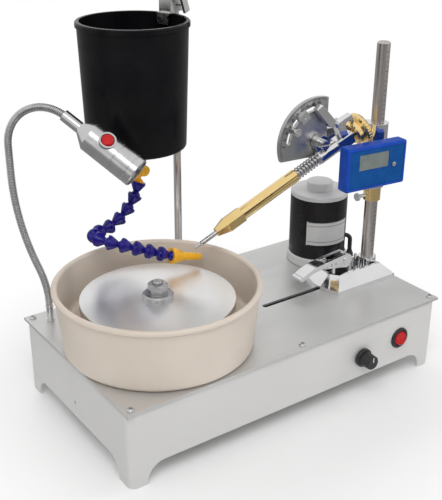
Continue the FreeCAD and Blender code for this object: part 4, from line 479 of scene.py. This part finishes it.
sleeve = rod("cable_sleeve", SLEEVE_RADIUS, SLEEVE_HEIGHT, (0, 0, SLEEVE_MIDDLE), SLEEVE_SIDES)
pick_faces(sleeve, lambda face: face.normal.z > 0.9)
bpy.ops.mesh.inset(thickness=SLEEVE_SHOULDER)
bpy.ops.mesh.extrude_region_move(TRANSFORM_OT_translate={"value": (0, 0, SLEEVE_NECK)})
bpy.ops.transform.resize(value=(SLEEVE_TAPER, SLEEVE_TAPER, 1.0), center_override=(0, 0, 0))
bpy.ops.object.mode_set(mode="OBJECT")
round_edges(sleeve, SLEEVE_EDGE)
bpy.ops.object.shade_smooth_by_angle(angle=CREASE)
set_down(sleeve, Matrix.Translation(CABLE_AT + CABLE_OUT * SLEEVE_OUT), "case", cable_rubber)

# Mast, its base and the head's steel parts: a ground bar left bare with a printed scale,
# and milled blocks that are bright nickel and chrome plated.
GROUND_BAR = (0.58, 0.535, 0.51)
PLATED = (0.80, 0.80, 0.81)
SATIN_NICKEL = (0.70, 0.695, 0.685)
MAST_AXIS = Matrix.Translation((0.172, -0.015, 0.0))
SCALE_RADIUS = 0.00701
SCALE_LOW = 0.112
SCALE_FACING = math.radians(-88)
TICK_COUNT = 45
TICK_STEP = 0.005
TICK_HEIGHT = 0.0005
TICK_THICK = 0.00002
LONG_TICK = math.radians(16)
SHORT_TICK = math.radians(9)

ground_bar = finish("ground_bar", GROUND_BAR, 0.3, 1.0)
mottle(ground_bar, (0.55, 0.505, 0.48), (0.61, 0.565, 0.54), 0.01, stretch=(1, 1, 5))
uneven(ground_bar, 0.25, 0.36, 0.004, stretch=(1, 1, 8))
dress(ground_bar, "mast")

bright_plate = finish("bright_plate", PLATED, 0.12, 1.0)
mottle(bright_plate, (0.76, 0.76, 0.77), PLATED, 0.02)
uneven(bright_plate, 0.06, 0.14, 0.012)
relief(bright_plate, 0.008, 0.000006, edge=0.0005)
dress(bright_plate, "quill_block", "mast_base", "bucket_rod", "clamp_lever", "collar_screw", "head_sleeve",
      "angle_stop", "index_lever", "gauge_button")

satin_nickel = finish("satin_nickel", SATIN_NICKEL, 0.26, 1.0)
mottle(satin_nickel, (0.65, 0.645, 0.64), SATIN_NICKEL, 0.012)
uneven(satin_nickel, 0.20, 0.34, 0.006)
relief(satin_nickel, 0.0012, 0.00001, edge=0.0004)
dress(satin_nickel, "head_arm", "pivot_bolt", "bucket_hanger", "dop_stick", "quill_spindle")
dress(moulded_black, "clamp_stud")


def joined(name, parts):
    bpy.ops.object.select_all(action="DESELECT")
    for part in parts:
        part.select_set(True)
    bpy.context.view_layer.objects.active = parts[0]
    bpy.ops.object.join()
    made = bpy.context.object
    made.name = name
    return made


ticks = []
for number in range(TICK_COUNT):
    spread = SHORT_TICK if number % 2 else LONG_TICK
    height = SCALE_LOW + number * TICK_STEP
    tick = wrapped_foil("tick", SCALE_RADIUS, height, height + TICK_HEIGHT,
                        SCALE_FACING - spread, SCALE_FACING + spread, TICK_THICK)
    ticks.append(tick)
set_down(joined("mast_scale", ticks), MAST_AXIS, "carriage", ink_black)

# Brass parts: collar, pivot bush, index wheel, tube and collet nut,
# turned from bar and left bright.
HEAD_TURN = math.radians(174.5)
HEAD = MAST_AXIS @ Matrix.Rotation(HEAD_TURN, 4, "Z")
TILT = math.radians(25.6)
PIVOT = Vector((0.0716, 0.0, 0.2443))
PIVOT_TO_QUILL = 0.0125
QUILL_FOOT = PIVOT - Vector((math.sin(TILT), 0.0, math.cos(TILT))) * PIVOT_TO_QUILL
QUILL = HEAD @ Matrix.Translation(QUILL_FOOT) @ Matrix.Rotation(TILT, 4, "Y")
BRASS = (0.92, 0.68, 0.31)

turned_brass = finish("turned_brass", BRASS, 0.15, 1.0)
mottle(turned_brass, (0.89, 0.65, 0.28), (0.95, 0.71, 0.34), 0.02, place=QUILL)
uneven(turned_brass, 0.12, 0.19, 0.008, place=QUILL)
turning(turned_brass, 0.0006, 0.0000012, QUILL, "X")
dress(turned_brass, "quill_tube", "collet_nut", "index_wheel", "pivot_bush", "stop_collar")

# Protractor's scale: fine black lines every two degrees and long ones every ten,
# with figures at the tens, printed on the plated sector.
SECTOR_GREY = (0.50, 0.50, 0.495)
SECTOR_FACE = -0.008
# Stands up what is made lying flat, so that it faces the front of the head.
HEAD_FRONT = Matrix(((-1, 0, 0, 0), (0, 0, 1, 0), (0, 1, 0, 0), (0, 0, 0, 1)))
SECTOR = HEAD @ Matrix.Translation((PIVOT.x, SECTOR_FACE, PIVOT.z)) @ HEAD_FRONT
SCALE_EDGE = 0.0464
MARK_DEGREES = range(-14, 101, 2)
MARK_WIDTH = 0.0005
LONG_MARK = 0.0036
SHORT_MARK = 0.0022
FIGURE_DEGREES = range(0, 91, 10)
FIGURE_RADIUS = 0.0409
FIGURE_SIZE = 0.0039
FIGURE_BOLDER = 0.0001
PRINT_THICK = 0.00006

sector_plate = finish("sector_plate", SECTOR_GREY, 0.32, 1.0)
mottle(sector_plate, (0.46, 0.46, 0.455), (0.53, 0.53, 0.525), 0.012)
uneven(sector_plate, 0.27, 0.38, 0.006)
relief(sector_plate, 0.0012, 0.000006, edge=0.0004)
dress(sector_plate, "protractor")

marks = []
for degrees in MARK_DEGREES:
    length = SHORT_MARK if degrees % 10 else LONG_MARK
    mark = block("mark", (length, MARK_WIDTH, PRINT_THICK), (-SCALE_EDGE + length / 2, 0, PRINT_THICK / 2))
    mark.data.transform(Matrix.Rotation(math.radians(-degrees), 4, "Z"))
    marks.append(mark)
for degrees in FIGURE_DEGREES:
    bpy.ops.object.select_all(action="DESELECT")
    bpy.ops.object.text_add(location=(0, 0, 0))
    figure = bpy.context.object
    figure.data.body = str(degrees)
    figure.data.size = FIGURE_SIZE
    figure.data.offset = FIGURE_BOLDER
    figure.data.align_x = "CENTER"
    figure.data.align_y = "CENTER"
    figure.data.extrude = PRINT_THICK / 2
    bpy.ops.object.convert(target="MESH")
    angle = math.radians(degrees)
    spot = Vector((-FIGURE_RADIUS * math.cos(angle), FIGURE_RADIUS * math.sin(angle), PRINT_THICK / 2))
    figure.data.transform(Matrix.Translation(spot) @ Matrix.Rotation(math.pi / 2 - angle, 4, "Z"))
    marks.append(figure)
set_down(joined("protractor_scale", marks), SECTOR, "head", ink_black)

# Digital readout: a blue moulded case with a darker printed face, a grey liquid-crystal
# window, and one small plated button.
GAUGE_BLUE = (0.005, 0.061, 0.41)
GAUGE_FACE_BLUE = (0.003, 0.070, 0.27)
GAUGE_AT = (0.02625, 0.0354, 0.2225)
GAUGE_FRONT = HEAD @ Matrix.Translation(GAUGE_AT) @ HEAD_FRONT
FACE_SIZE = (0.0691, 0.0396, 0.0004)
FACE_EDGE = 0.00015
WINDOW_AT = Vector((-0.00375, 0.0066, 0.0))
WINDOW_SIZE = (0.0378, 0.0168, 0.0006)
WINDOW_EDGE = 0.0001
WINDOW_SINK = Vector((0, 0, -0.0005))
WINDOW_HOLE = (0.0384, 0.0174, 0.004)
BUTTON_AT = Vector((0.02225, -0.0005, 0.0))
BUTTON_HOLE_RADIUS = 0.003
BUTTON_HOLE_DEPTH = 0.004
BUTTON_HOLE_SIDES = 40


def cut_out(obj, cutter):
    only(obj)
    cut = obj.modifiers.new("cut", "BOOLEAN")
    cut.operation = "DIFFERENCE"
    cut.object = cutter
    bpy.ops.object.modifier_apply(modifier="cut")
    bpy.data.objects.remove(cutter)


gauge_blue = finish("gauge_blue", GAUGE_BLUE, 0.34)
mottle(gauge_blue, (0.004, 0.052, 0.37), (0.007, 0.068, 0.44), 0.012)
uneven(gauge_blue, 0.30, 0.40, 0.006)
shine(gauge_blue, 0.2)
relief(gauge_blue, 0.0009, 0.00002, edge=0.0004)
dress(gauge_blue, "gauge_case")

face_print = finish("face_print", GAUGE_FACE_BLUE, 0.45)
mottle(face_print, (0.002, 0.063, 0.25), (0.004, 0.077, 0.29), 0.01)
uneven(face_print, 0.40, 0.5, 0.004)
shine(face_print, 0.1)
gauge_face = block("gauge_face", FACE_SIZE, (0, 0, FACE_SIZE[2] / 2), FACE_EDGE)
cut_out(gauge_face, block("window_cutter", WINDOW_HOLE, WINDOW_AT))
button_cutter = rod("button_cutter", BUTTON_HOLE_RADIUS, BUTTON_HOLE_DEPTH, BUTTON_AT, BUTTON_HOLE_SIDES)
cut_out(gauge_face, button_cutter)
set_down(gauge_face, GAUGE_FRONT, "head", face_print)

crystal_grey = finish("crystal_grey", (0.17, 0.20, 0.19), 0.3)
mottle(crystal_grey, (0.155, 0.185, 0.175), (0.185, 0.215, 0.205), 0.01)
uneven(crystal_grey, 0.25, 0.35, 0.006)
crystal = block("gauge_window", WINDOW_SIZE, WINDOW_AT + WINDOW_SINK, WINDOW_EDGE)
set_down(crystal, GAUGE_FRONT, "head", crystal_grey)

# Quill spring: an open coil of bright wire between the block and the tube,
# slipped over the spindle.
COIL_RADIUS = 0.0057
COIL_START = 0.0114
COIL_RISE = 0.0288
COIL_TURNS = 7.5
COIL_STEPS = 200
COIL_CREASE = math.radians(50)
WIRE_RADIUS = 0.0008
WIRE_SIDES = 14
ALONG_X = Matrix.Rotation(math.pi / 2, 4, "Y")


def close_ends(obj):
    """Caps the open ends of a swept tube and turns its faces outwards."""
    only(obj)
    bpy.ops.object.mode_set(mode="EDIT")
    bpy.ops.mesh.select_mode(type="EDGE")
    bpy.ops.mesh.select_all(action="DESELECT")
    bpy.ops.mesh.select_non_manifold()
    bpy.ops.mesh.edge_face_add()
    bpy.ops.mesh.select_all(action="SELECT")
    bpy.ops.mesh.normals_make_consistent(inside=False)
    bpy.ops.object.mode_set(mode="OBJECT")


spring_steel = finish("spring_steel", (0.58, 0.58, 0.59), 0.2, 1.0)
mottle(spring_steel, (0.48, 0.48, 0.49), (0.62, 0.62, 0.63), 0.002)
uneven(spring_steel, 0.15, 0.28, 0.0012)
bpy.ops.object.select_all(action="DESELECT")
bpy.ops.mesh.primitive_circle_add(vertices=WIRE_SIDES, radius=WIRE_RADIUS, location=(COIL_RADIUS, 0, 0),
                                  rotation=(math.pi / 2, 0, 0))
spring = bpy.context.object
spring.name = "quill_coil"
settle(spring)
winding = spring.modifiers.new("winding", "SCREW")
winding.axis = "Z"
winding.angle = 2 * math.pi * COIL_TURNS
winding.screw_offset = COIL_RISE
winding.steps = COIL_STEPS
winding.render_steps = COIL_STEPS
bpy.ops.object.modifier_apply(modifier="winding")
close_ends(spring)
bpy.ops.object.shade_smooth_by_angle(angle=COIL_CREASE)
coil_place = QUILL @ Matrix.Translation((COIL_START, 0, 0)) @ ALONG_X
set_down(spring, coil_place, "spin", spring_steel)
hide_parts("quill_spring")

# Drip bucket: a tall tapering pot in black semi-gloss plastic, hung on its rod
# by a bent strap.
BUCKET_BLACK = (0.005, 0.0045, 0.0055)

pot_black = finish("pot_black", BUCKET_BLACK, 0.24)
mottle(pot_black, (0.004, 0.0035, 0.0045), (0.007, 0.0065, 0.0075), 0.03)
uneven(pot_black, 0.20, 0.29, 0.02)
shine(pot_black, 0.14)
relief(pot_black, 0.0024, 0.00004, edge=0.0006)
dress(pot_black, "bucket")

# Drip valve, its handle and the nozzle: moulded in glossy orange-yellow plastic,
# the valve nutted through the bucket's floor and the nozzle snapped on the hose.
ORANGE = (0.93, 0.46, 0.009)

orange_mould = finish("orange_mould", ORANGE, 0.26)
mottle(orange_mould, (0.90, 0.42, 0.008), (0.95, 0.50, 0.012), 0.006)
uneven(orange_mould, 0.20, 0.34, 0.003)
let_light_in(orange_mould, 0.12, 0.003)
relief(orange_mould, 0.0012, 0.00002, edge=0.0003)
dress(orange_mould, "valve_body", "valve_nut", "valve_handle", "nozzle")

# Jointed hose: hard plastic links that snap ball into cup,
# moulded in a deep, glossy violet blue.
HOSE_BLUE = (0.012, 0.007, 0.19)

link_blue = finish("link_blue", HOSE_BLUE, 0.16)
mottle(link_blue, (0.009, 0.005, 0.16), (0.015, 0.009, 0.22), 0.006)
uneven(link_blue, 0.12, 0.2, 0.003)
shine(link_blue, 0.35)
let_light_in(link_blue, 0.08, 0.002)
relief(link_blue, 0.0015, 0.00002, edge=0.0003)
dress(link_blue, "hose_upper", "hose_lower")

# Lamp's flexible neck: a wound metal tube with fine round ribs, in a plated ferrule
# with two raised bands that is nutted under the plate.
NECK_FOOT = Vector((-0.172, 0.085, 0.101))
NECK_BEARING = math.radians(-54)
NECK_OUT = Vector((math.cos(NECK_BEARING), math.sin(NECK_BEARING), 0.0))
# Each stretch is a bend's radius and its degrees, or no radius and a straight length.
NECK_STRETCHES = ((0.090, -25.0), (0.230, 25.0), (0.0, 0.027), (0.041, 124.0))
NECK_END_HANDLE = 0.01
NECK_CREASE = math.radians(80)
RIB_COUNT = 160
RIB_VALLEY = 0.0028
RIB_SHOULDER = 0.00355
RIB_CREST = 0.0037
# Each step over a rib is a share of its pitch and the radius that it comes to.
RIB_STEPS = (
    (0.22, RIB_SHOULDER),
    (0.2, RIB_CREST),
    (0.2, RIB_CREST),
    (0.2, RIB_SHOULDER),
    (0.18, RIB_VALLEY),
)
RIB_SIDES = 18
RIB_MERGE = 0.00002
FERRULE_RADIUS = 0.0034
FERRULE_LENGTH = 0.0355
FERRULE_MIDDLE = 0.08375
FERRULE_SIDES = 40
FERRULE_BANDS = ((0.083, 0.0845), (0.097, 0.0985))
FERRULE_BAND_RISE = 0.0006


def neck_way(lean):
    return NECK_OUT * math.sin(lean) + Vector((0, 0, math.cos(lean)))


def neck_side(lean):
    return NECK_OUT * math.cos(lean) - Vector((0, 0, math.sin(lean)))


neck_plate = finish("neck_plate", (0.56, 0.56, 0.565), 0.16, 1.0)
mottle(neck_plate, (0.51, 0.51, 0.515), (0.60, 0.60, 0.605), 0.008)
uneven(neck_plate, 0.12, 0.2, 0.006)

route = bpy.data.curves.new("neck_route", "CURVE")
route.dimensions = "3D"
route.resolution_u = 32
bend = route.splines.new("BEZIER")
bend.bezier_points.add(len(NECK_STRETCHES))
here = NECK_FOOT.copy()
lean = 0.0
neck_length = 0.0
for number, (radius, amount) in enumerate(NECK_STRETCHES):
    way = neck_way(lean)
    if radius:
        turn = math.radians(amount)
        swing = math.copysign(radius, turn)
        centre = here + neck_side(lean) * swing
        lean += turn
        there = centre - neck_side(lean) * swing
        reach = 4.0 / 3.0 * math.tan(abs(turn) / 4) * radius
        neck_length += radius * abs(turn)
    else:
        there = here + way * amount
        reach = amount / 3
        neck_length += amount
    knot = bend.bezier_points[number]
    knot.co = here
    knot.handle_right_type = "FREE"
    knot.handle_right = here + way * reach
    follower = bend.bezier_points[number + 1]
    follower.co = there
    follower.handle_left_type = "FREE"
    follower.handle_left = there - neck_way(lean) * reach
    here = there
bend.bezier_points[0].handle_left_type = "FREE"
bend.bezier_points[0].handle_left = NECK_FOOT - Vector((0, 0, NECK_END_HANDLE))
bend.bezier_points[-1].handle_right_type = "FREE"
bend.bezier_points[-1].handle_right = here + neck_way(lean) * NECK_END_HANDLE
guide = bpy.data.objects.new("neck_route", route)
bpy.context.scene.collection.objects.link(guide)

rib_pitch = neck_length / RIB_COUNT
bpy.ops.object.select_all(action="DESELECT")
bpy.ops.mesh.primitive_circle_add(vertices=RIB_SIDES, radius=RIB_VALLEY)
neck = bpy.context.object
neck.name = "neck_ribs"
bpy.ops.object.mode_set(mode="EDIT")
bpy.ops.mesh.select_all(action="SELECT")
radius = RIB_VALLEY
for share, next_radius in RIB_STEPS:
    bpy.ops.mesh.extrude_region_move(TRANSFORM_OT_translate={"value": (0, 0, share * rib_pitch)})
    grow = next_radius / radius
    bpy.ops.transform.resize(value=(grow, grow, 1.0), center_override=(0, 0, 0))
    radius = next_radius
bpy.ops.object.mode_set(mode="OBJECT")
stack = neck.modifiers.new("stack", "ARRAY")
stack.count = RIB_COUNT
stack.use_relative_offset = False
stack.use_constant_offset = True
stack.constant_offset_displace = (0, 0, rib_pitch)
stack.use_merge_vertices = True
stack.merge_threshold = RIB_MERGE
along = neck.modifiers.new("along", "CURVE")
along.object = guide
along.deform_axis = "POS_Z"
bpy.ops.object.modifier_apply(modifier="stack")
bpy.ops.object.modifier_apply(modifier="along")
close_ends(neck)
bpy.ops.object.shade_smooth_by_angle(angle=NECK_CREASE)
bpy.data.objects.remove(guide)
set_down(neck, Matrix.Identity(4), "case", neck_plate)
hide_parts("gooseneck")

ferrule = rod("neck_ferrule", FERRULE_RADIUS, FERRULE_LENGTH, (0, 0, FERRULE_MIDDLE), FERRULE_SIDES)
bpy.ops.object.mode_set(mode="EDIT")
for band in FERRULE_BANDS:
    for height in band:
        bpy.ops.mesh.select_all(action="SELECT")
        bpy.ops.mesh.bisect(plane_co=(0, 0, height), plane_no=(0, 0, 1))
bpy.ops.object.mode_set(mode="OBJECT")
pick_faces(ferrule, lambda face: abs(face.normal.z) < 0.5
           and any(bottom < face.center.z < top for bottom, top in FERRULE_BANDS))
bpy.ops.mesh.extrude_region_shrink_fatten(TRANSFORM_OT_shrink_fatten={"value": FERRULE_BAND_RISE})
bpy.ops.mesh.select_all(action="SELECT")
bpy.ops.mesh.normals_make_consistent(inside=False)
bpy.ops.object.mode_set(mode="OBJECT")
bpy.ops.object.shade_smooth_by_angle(angle=CREASE)
set_down(ferrule, Matrix.Translation((NECK_FOOT.x, NECK_FOOT.y, 0)), "case", bright_plate)

# Lamp: a turned aluminium barrel, brushed round its length, with a clear lens
# over a small board of light-emitting diodes.
LAMP_GREY = (0.64, 0.64, 0.645)
LAMP_BEAM = neck_way(lean)
LAMP_SIDE = Vector((0, 0, 1)).cross(NECK_OUT)
BOARD_RADIUS = 0.0126
BOARD_THICK = 0.0014
BOARD_AT = 0.0535
BOARD_EDGE = 0.0002
BOARD_SIDES = 48
DIODE_COUNT = 7
DIODE_RING = 0.0078
DIODE_SIZE = (0.0036, 0.0036, 0.0014)
DIODE_AT = 0.0549
DIODE_EDGE = 0.0004


def facing(x_way, y_way, z_way):
    """The turn that brings the three axes to three given ways."""
    return Matrix((x_way, y_way, z_way)).transposed().to_4x4()


LAMP = Matrix.Translation(here) @ facing(LAMP_BEAM, LAMP_SIDE, LAMP_BEAM.cross(LAMP_SIDE))
LAMP_FACE = LAMP @ ALONG_X

brushed_barrel = finish("brushed_barrel", LAMP_GREY, 0.22, 1.0)
mottle(brushed_barrel, (0.59, 0.59, 0.595), LAMP_GREY, 0.012, place=LAMP)
uneven(brushed_barrel, 0.18, 0.27, 0.004, place=LAMP)
turning(brushed_barrel, 0.0005, 0.000001, LAMP, "X")
dress(brushed_barrel, "lamp_head")

lens_clear = finish("lens_clear", (0.95, 0.95, 0.95), 0.06)
shader_of(lens_clear).inputs["Transmission Weight"].default_value = 1.0
uneven(lens_clear, 0.04, 0.12, 0.004)
dress(lens_clear, "lamp_lens")

board_white = finish("board_white", (0.72, 0.72, 0.70), 0.4)
mottle(board_white, (0.64, 0.64, 0.62), (0.76, 0.76, 0.74), 0.003)
board = rod("lamp_board", BOARD_RADIUS, BOARD_THICK, (0, 0, BOARD_AT), BOARD_SIDES)
round_edges(board, BOARD_EDGE)
set_down(board, LAMP_FACE, "lamp", board_white)

diode_yellow = finish("diode_yellow", (0.80, 0.62, 0.12), 0.25)
mottle(diode_yellow, (0.72, 0.52, 0.08), (0.85, 0.70, 0.20), 0.001)
diodes = []
for number in range(DIODE_COUNT):
    ring = 0.0 if number == DIODE_COUNT - 1 else DIODE_RING
    angle = 2 * math.pi * number / (DIODE_COUNT - 1)
    spot = (ring * math.cos(angle), ring * math.sin(angle), DIODE_AT)
    diodes.append(block("diode", DIODE_SIZE, spot, DIODE_EDGE, 3))
set_down(joined("lamp_diodes", diodes), LAMP_FACE, "lamp", diode_yellow)

# Bench and studio: a white sweep that fades out into a white room, one broad lamp above
# the left shoulder, weaker ones at the right and back, and cards that only mirrors see.
BENCH_RADIUS = 2.6
BENCH_SIDES = 96
BENCH_LEVEL = -0.0002
BENCH_WHITE = (0.88, 0.88, 0.88)
FADE_FROM = 0.15
FADE_TO = 0.36
BENCH_IN_MIRRORS = 0.3
ROOM_IN_MIRRORS = 0.8
ROOM_LIGHT = 0.42

bpy.ops.object.select_all(action="DESELECT")
bpy.ops.mesh.primitive_circle_add(vertices=BENCH_SIDES, radius=BENCH_RADIUS, fill_type="NGON",
                                  location=(0, 0, BENCH_LEVEL))
floor = bpy.context.object
floor.name = "bench_floor"
bench_white = finish("bench_white", BENCH_WHITE, 0.55)
sight = step(bench_white, "LightPath")
dimming = step(bench_white, "MapRange", {"To Min": 1.0, "To Max": BENCH_IN_MIRRORS})
glow = step(bench_white, "Emission")
coords = step(bench_white, "TexCoord")
distance = step(bench_white, "VectorMath", operation="LENGTH")
span = step(bench_white, "MapRange", {"From Min": FADE_FROM, "From Max": FADE_TO},
            interpolation_type="SMOOTHSTEP")
fade = step(bench_white, "MixShader")
link(bench_white, sight.outputs["Is Glossy Ray"], dimming.inputs["Value"])
link(bench_white, dimming.outputs["Result"], glow.inputs["Strength"])
link(bench_white, coords.outputs["Object"], distance.inputs[0])
link(bench_white, distance.outputs["Value"], span.inputs["Value"])
link(bench_white, span.outputs["Result"], fade.inputs["Fac"])
link(bench_white, shader_of(bench_white).outputs["BSDF"], fade.inputs[1])
link(bench_white, glow.outputs["Emission"], fade.inputs[2])
link(bench_white, fade.outputs["Shader"], bench_white.node_tree.nodes["Material Output"].inputs["Surface"])
paint(floor, bench_white)
floor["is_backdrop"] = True

world = bpy.data.worlds.new("white_room")
bpy.context.scene.world = world
world.use_nodes = True
background = world.node_tree.nodes["Background"]
background.inputs["Color"].default_value = (1, 1, 1, 1)
sight = step(world, "LightPath")
mirrored = step(world, "Math", {1: ROOM_IN_MIRRORS}, operation="MULTIPLY")
seen = step(world, "Math", operation="MAXIMUM")
seen_through = step(world, "Math", operation="MAXIMUM")
level = step(world, "MapRange", {"To Min": ROOM_LIGHT, "To Max": 1.0})
link(world, sight.outputs["Is Camera Ray"], seen.inputs[0])
link(world, sight.outputs["Is Glossy Ray"], mirrored.inputs[0])
link(world, mirrored.outputs["Value"], seen.inputs[1])
link(world, seen.outputs["Value"], seen_through.inputs[0])
link(world, sight.outputs["Is Transmission Ray"], seen_through.inputs[1])
link(world, seen_through.outputs["Value"], level.inputs["Value"])
link(world, level.outputs["Result"], background.inputs["Strength"])


def aimed(place, aim, front):
    """The turn that points an object's front from a place at an aim."""
    return (Vector(aim) - Vector(place)).to_track_quat(front, "Y").to_euler()


def studio_lamp(name, place, aim, size, power):
    light = bpy.data.lights.new(name, "AREA")
    light.shape = "RECTANGLE"
    light.size = size[0]
    light.size_y = size[1]
    light.energy = power
    obj = bpy.data.objects.new(name, light)
    bpy.context.scene.collection.objects.link(obj)
    obj.location = place
    obj.rotation_euler = aimed(place, aim, "-Z")
    obj.visible_glossy = False


def mirror_card(name, place, aim, size, shade):
    """A card of one brightness that only mirroring surfaces see, as studio flags and fills are."""
    bpy.ops.object.select_all(action="DESELECT")
    bpy.ops.mesh.primitive_plane_add(size=1.0)
    card = bpy.context.object
    card.name = name
    card.scale = (size[0], size[1], 1.0)
    card.location = place
    card.rotation_euler = aimed(place, aim, "Z")
    card.visible_camera = False
    card.visible_diffuse = False
    card.visible_shadow = False
    felt = bpy.data.materials.new(name)
    felt.use_nodes = True
    felt_glow = step(felt, "Emission", {"Color": (shade, shade, shade, 1)})
    link(felt, felt_glow.outputs["Emission"], felt.node_tree.nodes["Material Output"].inputs["Surface"])
    paint(card, felt)
    card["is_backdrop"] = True


studio_lamp("broad_lamp", (-0.7, -0.9, 1.5), (-0.02, 0.0, 0.1), (1.1, 1.1), 17.0)
studio_lamp("side_lamp", (1.3, -0.5, 0.9), (0.0, 0.0, 0.12), (0.6, 1.2), 6.0)
studio_lamp("back_lamp", (0.2, 1.4, 1.2), (0.0, 0.0, 0.15), (1.2, 0.6), 7.0)
mirror_card("card_front", (0.1, -1.9, 0.35), (0.0, 0.0, 0.2), (0.9, 1.3), 0.03)
mirror_card("card_left", (-1.9, 0.2, 0.45), (0.0, 0.0, 0.2), (0.7, 1.3), 0.04)
mirror_card("card_right", (1.6, 0.9, 0.45), (0.0, 0.0, 0.2), (0.6, 1.3), 0.04)
mirror_card("fill_left", (-0.9, -1.2, 1.7), (0.0, 0.0, 0.1), (0.9, 0.7), 3.0)
mirror_card("card_low", (-1.0, -1.35, 0.42), (0.0, 0.0, 0.2), (1.2, 0.8), 0.06)

# Camera: where the photograph was taken from, solved from the case's corners,
# the rims of the bowl and the lap.
CAMERA_AT = Vector((-0.48937, -0.65891, 0.52020))
YAW = math.radians(54.534)
PITCH = math.radians(24.457)
ROLL = math.radians(0.347)
FOCAL_LENGTH = 63.62
SENSOR_WIDTH = 36.0
NEAR_CLIP = 0.01

ahead = Vector((math.cos(PITCH) * math.cos(YAW), math.cos(PITCH) * math.sin(YAW), -math.sin(PITCH)))
right = Vector((math.sin(YAW), -math.cos(YAW), 0.0))
up = right.cross(ahead)
right_rolled = right * math.cos(ROLL) + up * math.sin(ROLL)
up_rolled = up * math.cos(ROLL) - right * math.sin(ROLL)
lens = bpy.data.cameras.new("photo_camera")
lens.lens = FOCAL_LENGTH
lens.sensor_width = SENSOR_WIDTH
lens.clip_start = NEAR_CLIP
camera = bpy.data.objects.new("photo_camera", lens)
bpy.context.scene.collection.objects.link(camera)
camera.matrix_world = Matrix.Translation(CAMERA_AT) @ facing(right_rolled, up_rolled, -ahead)
bpy.context.scene.camera = camera
bpy.context.scene.view_settings.view_transform = "Standard"

low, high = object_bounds()
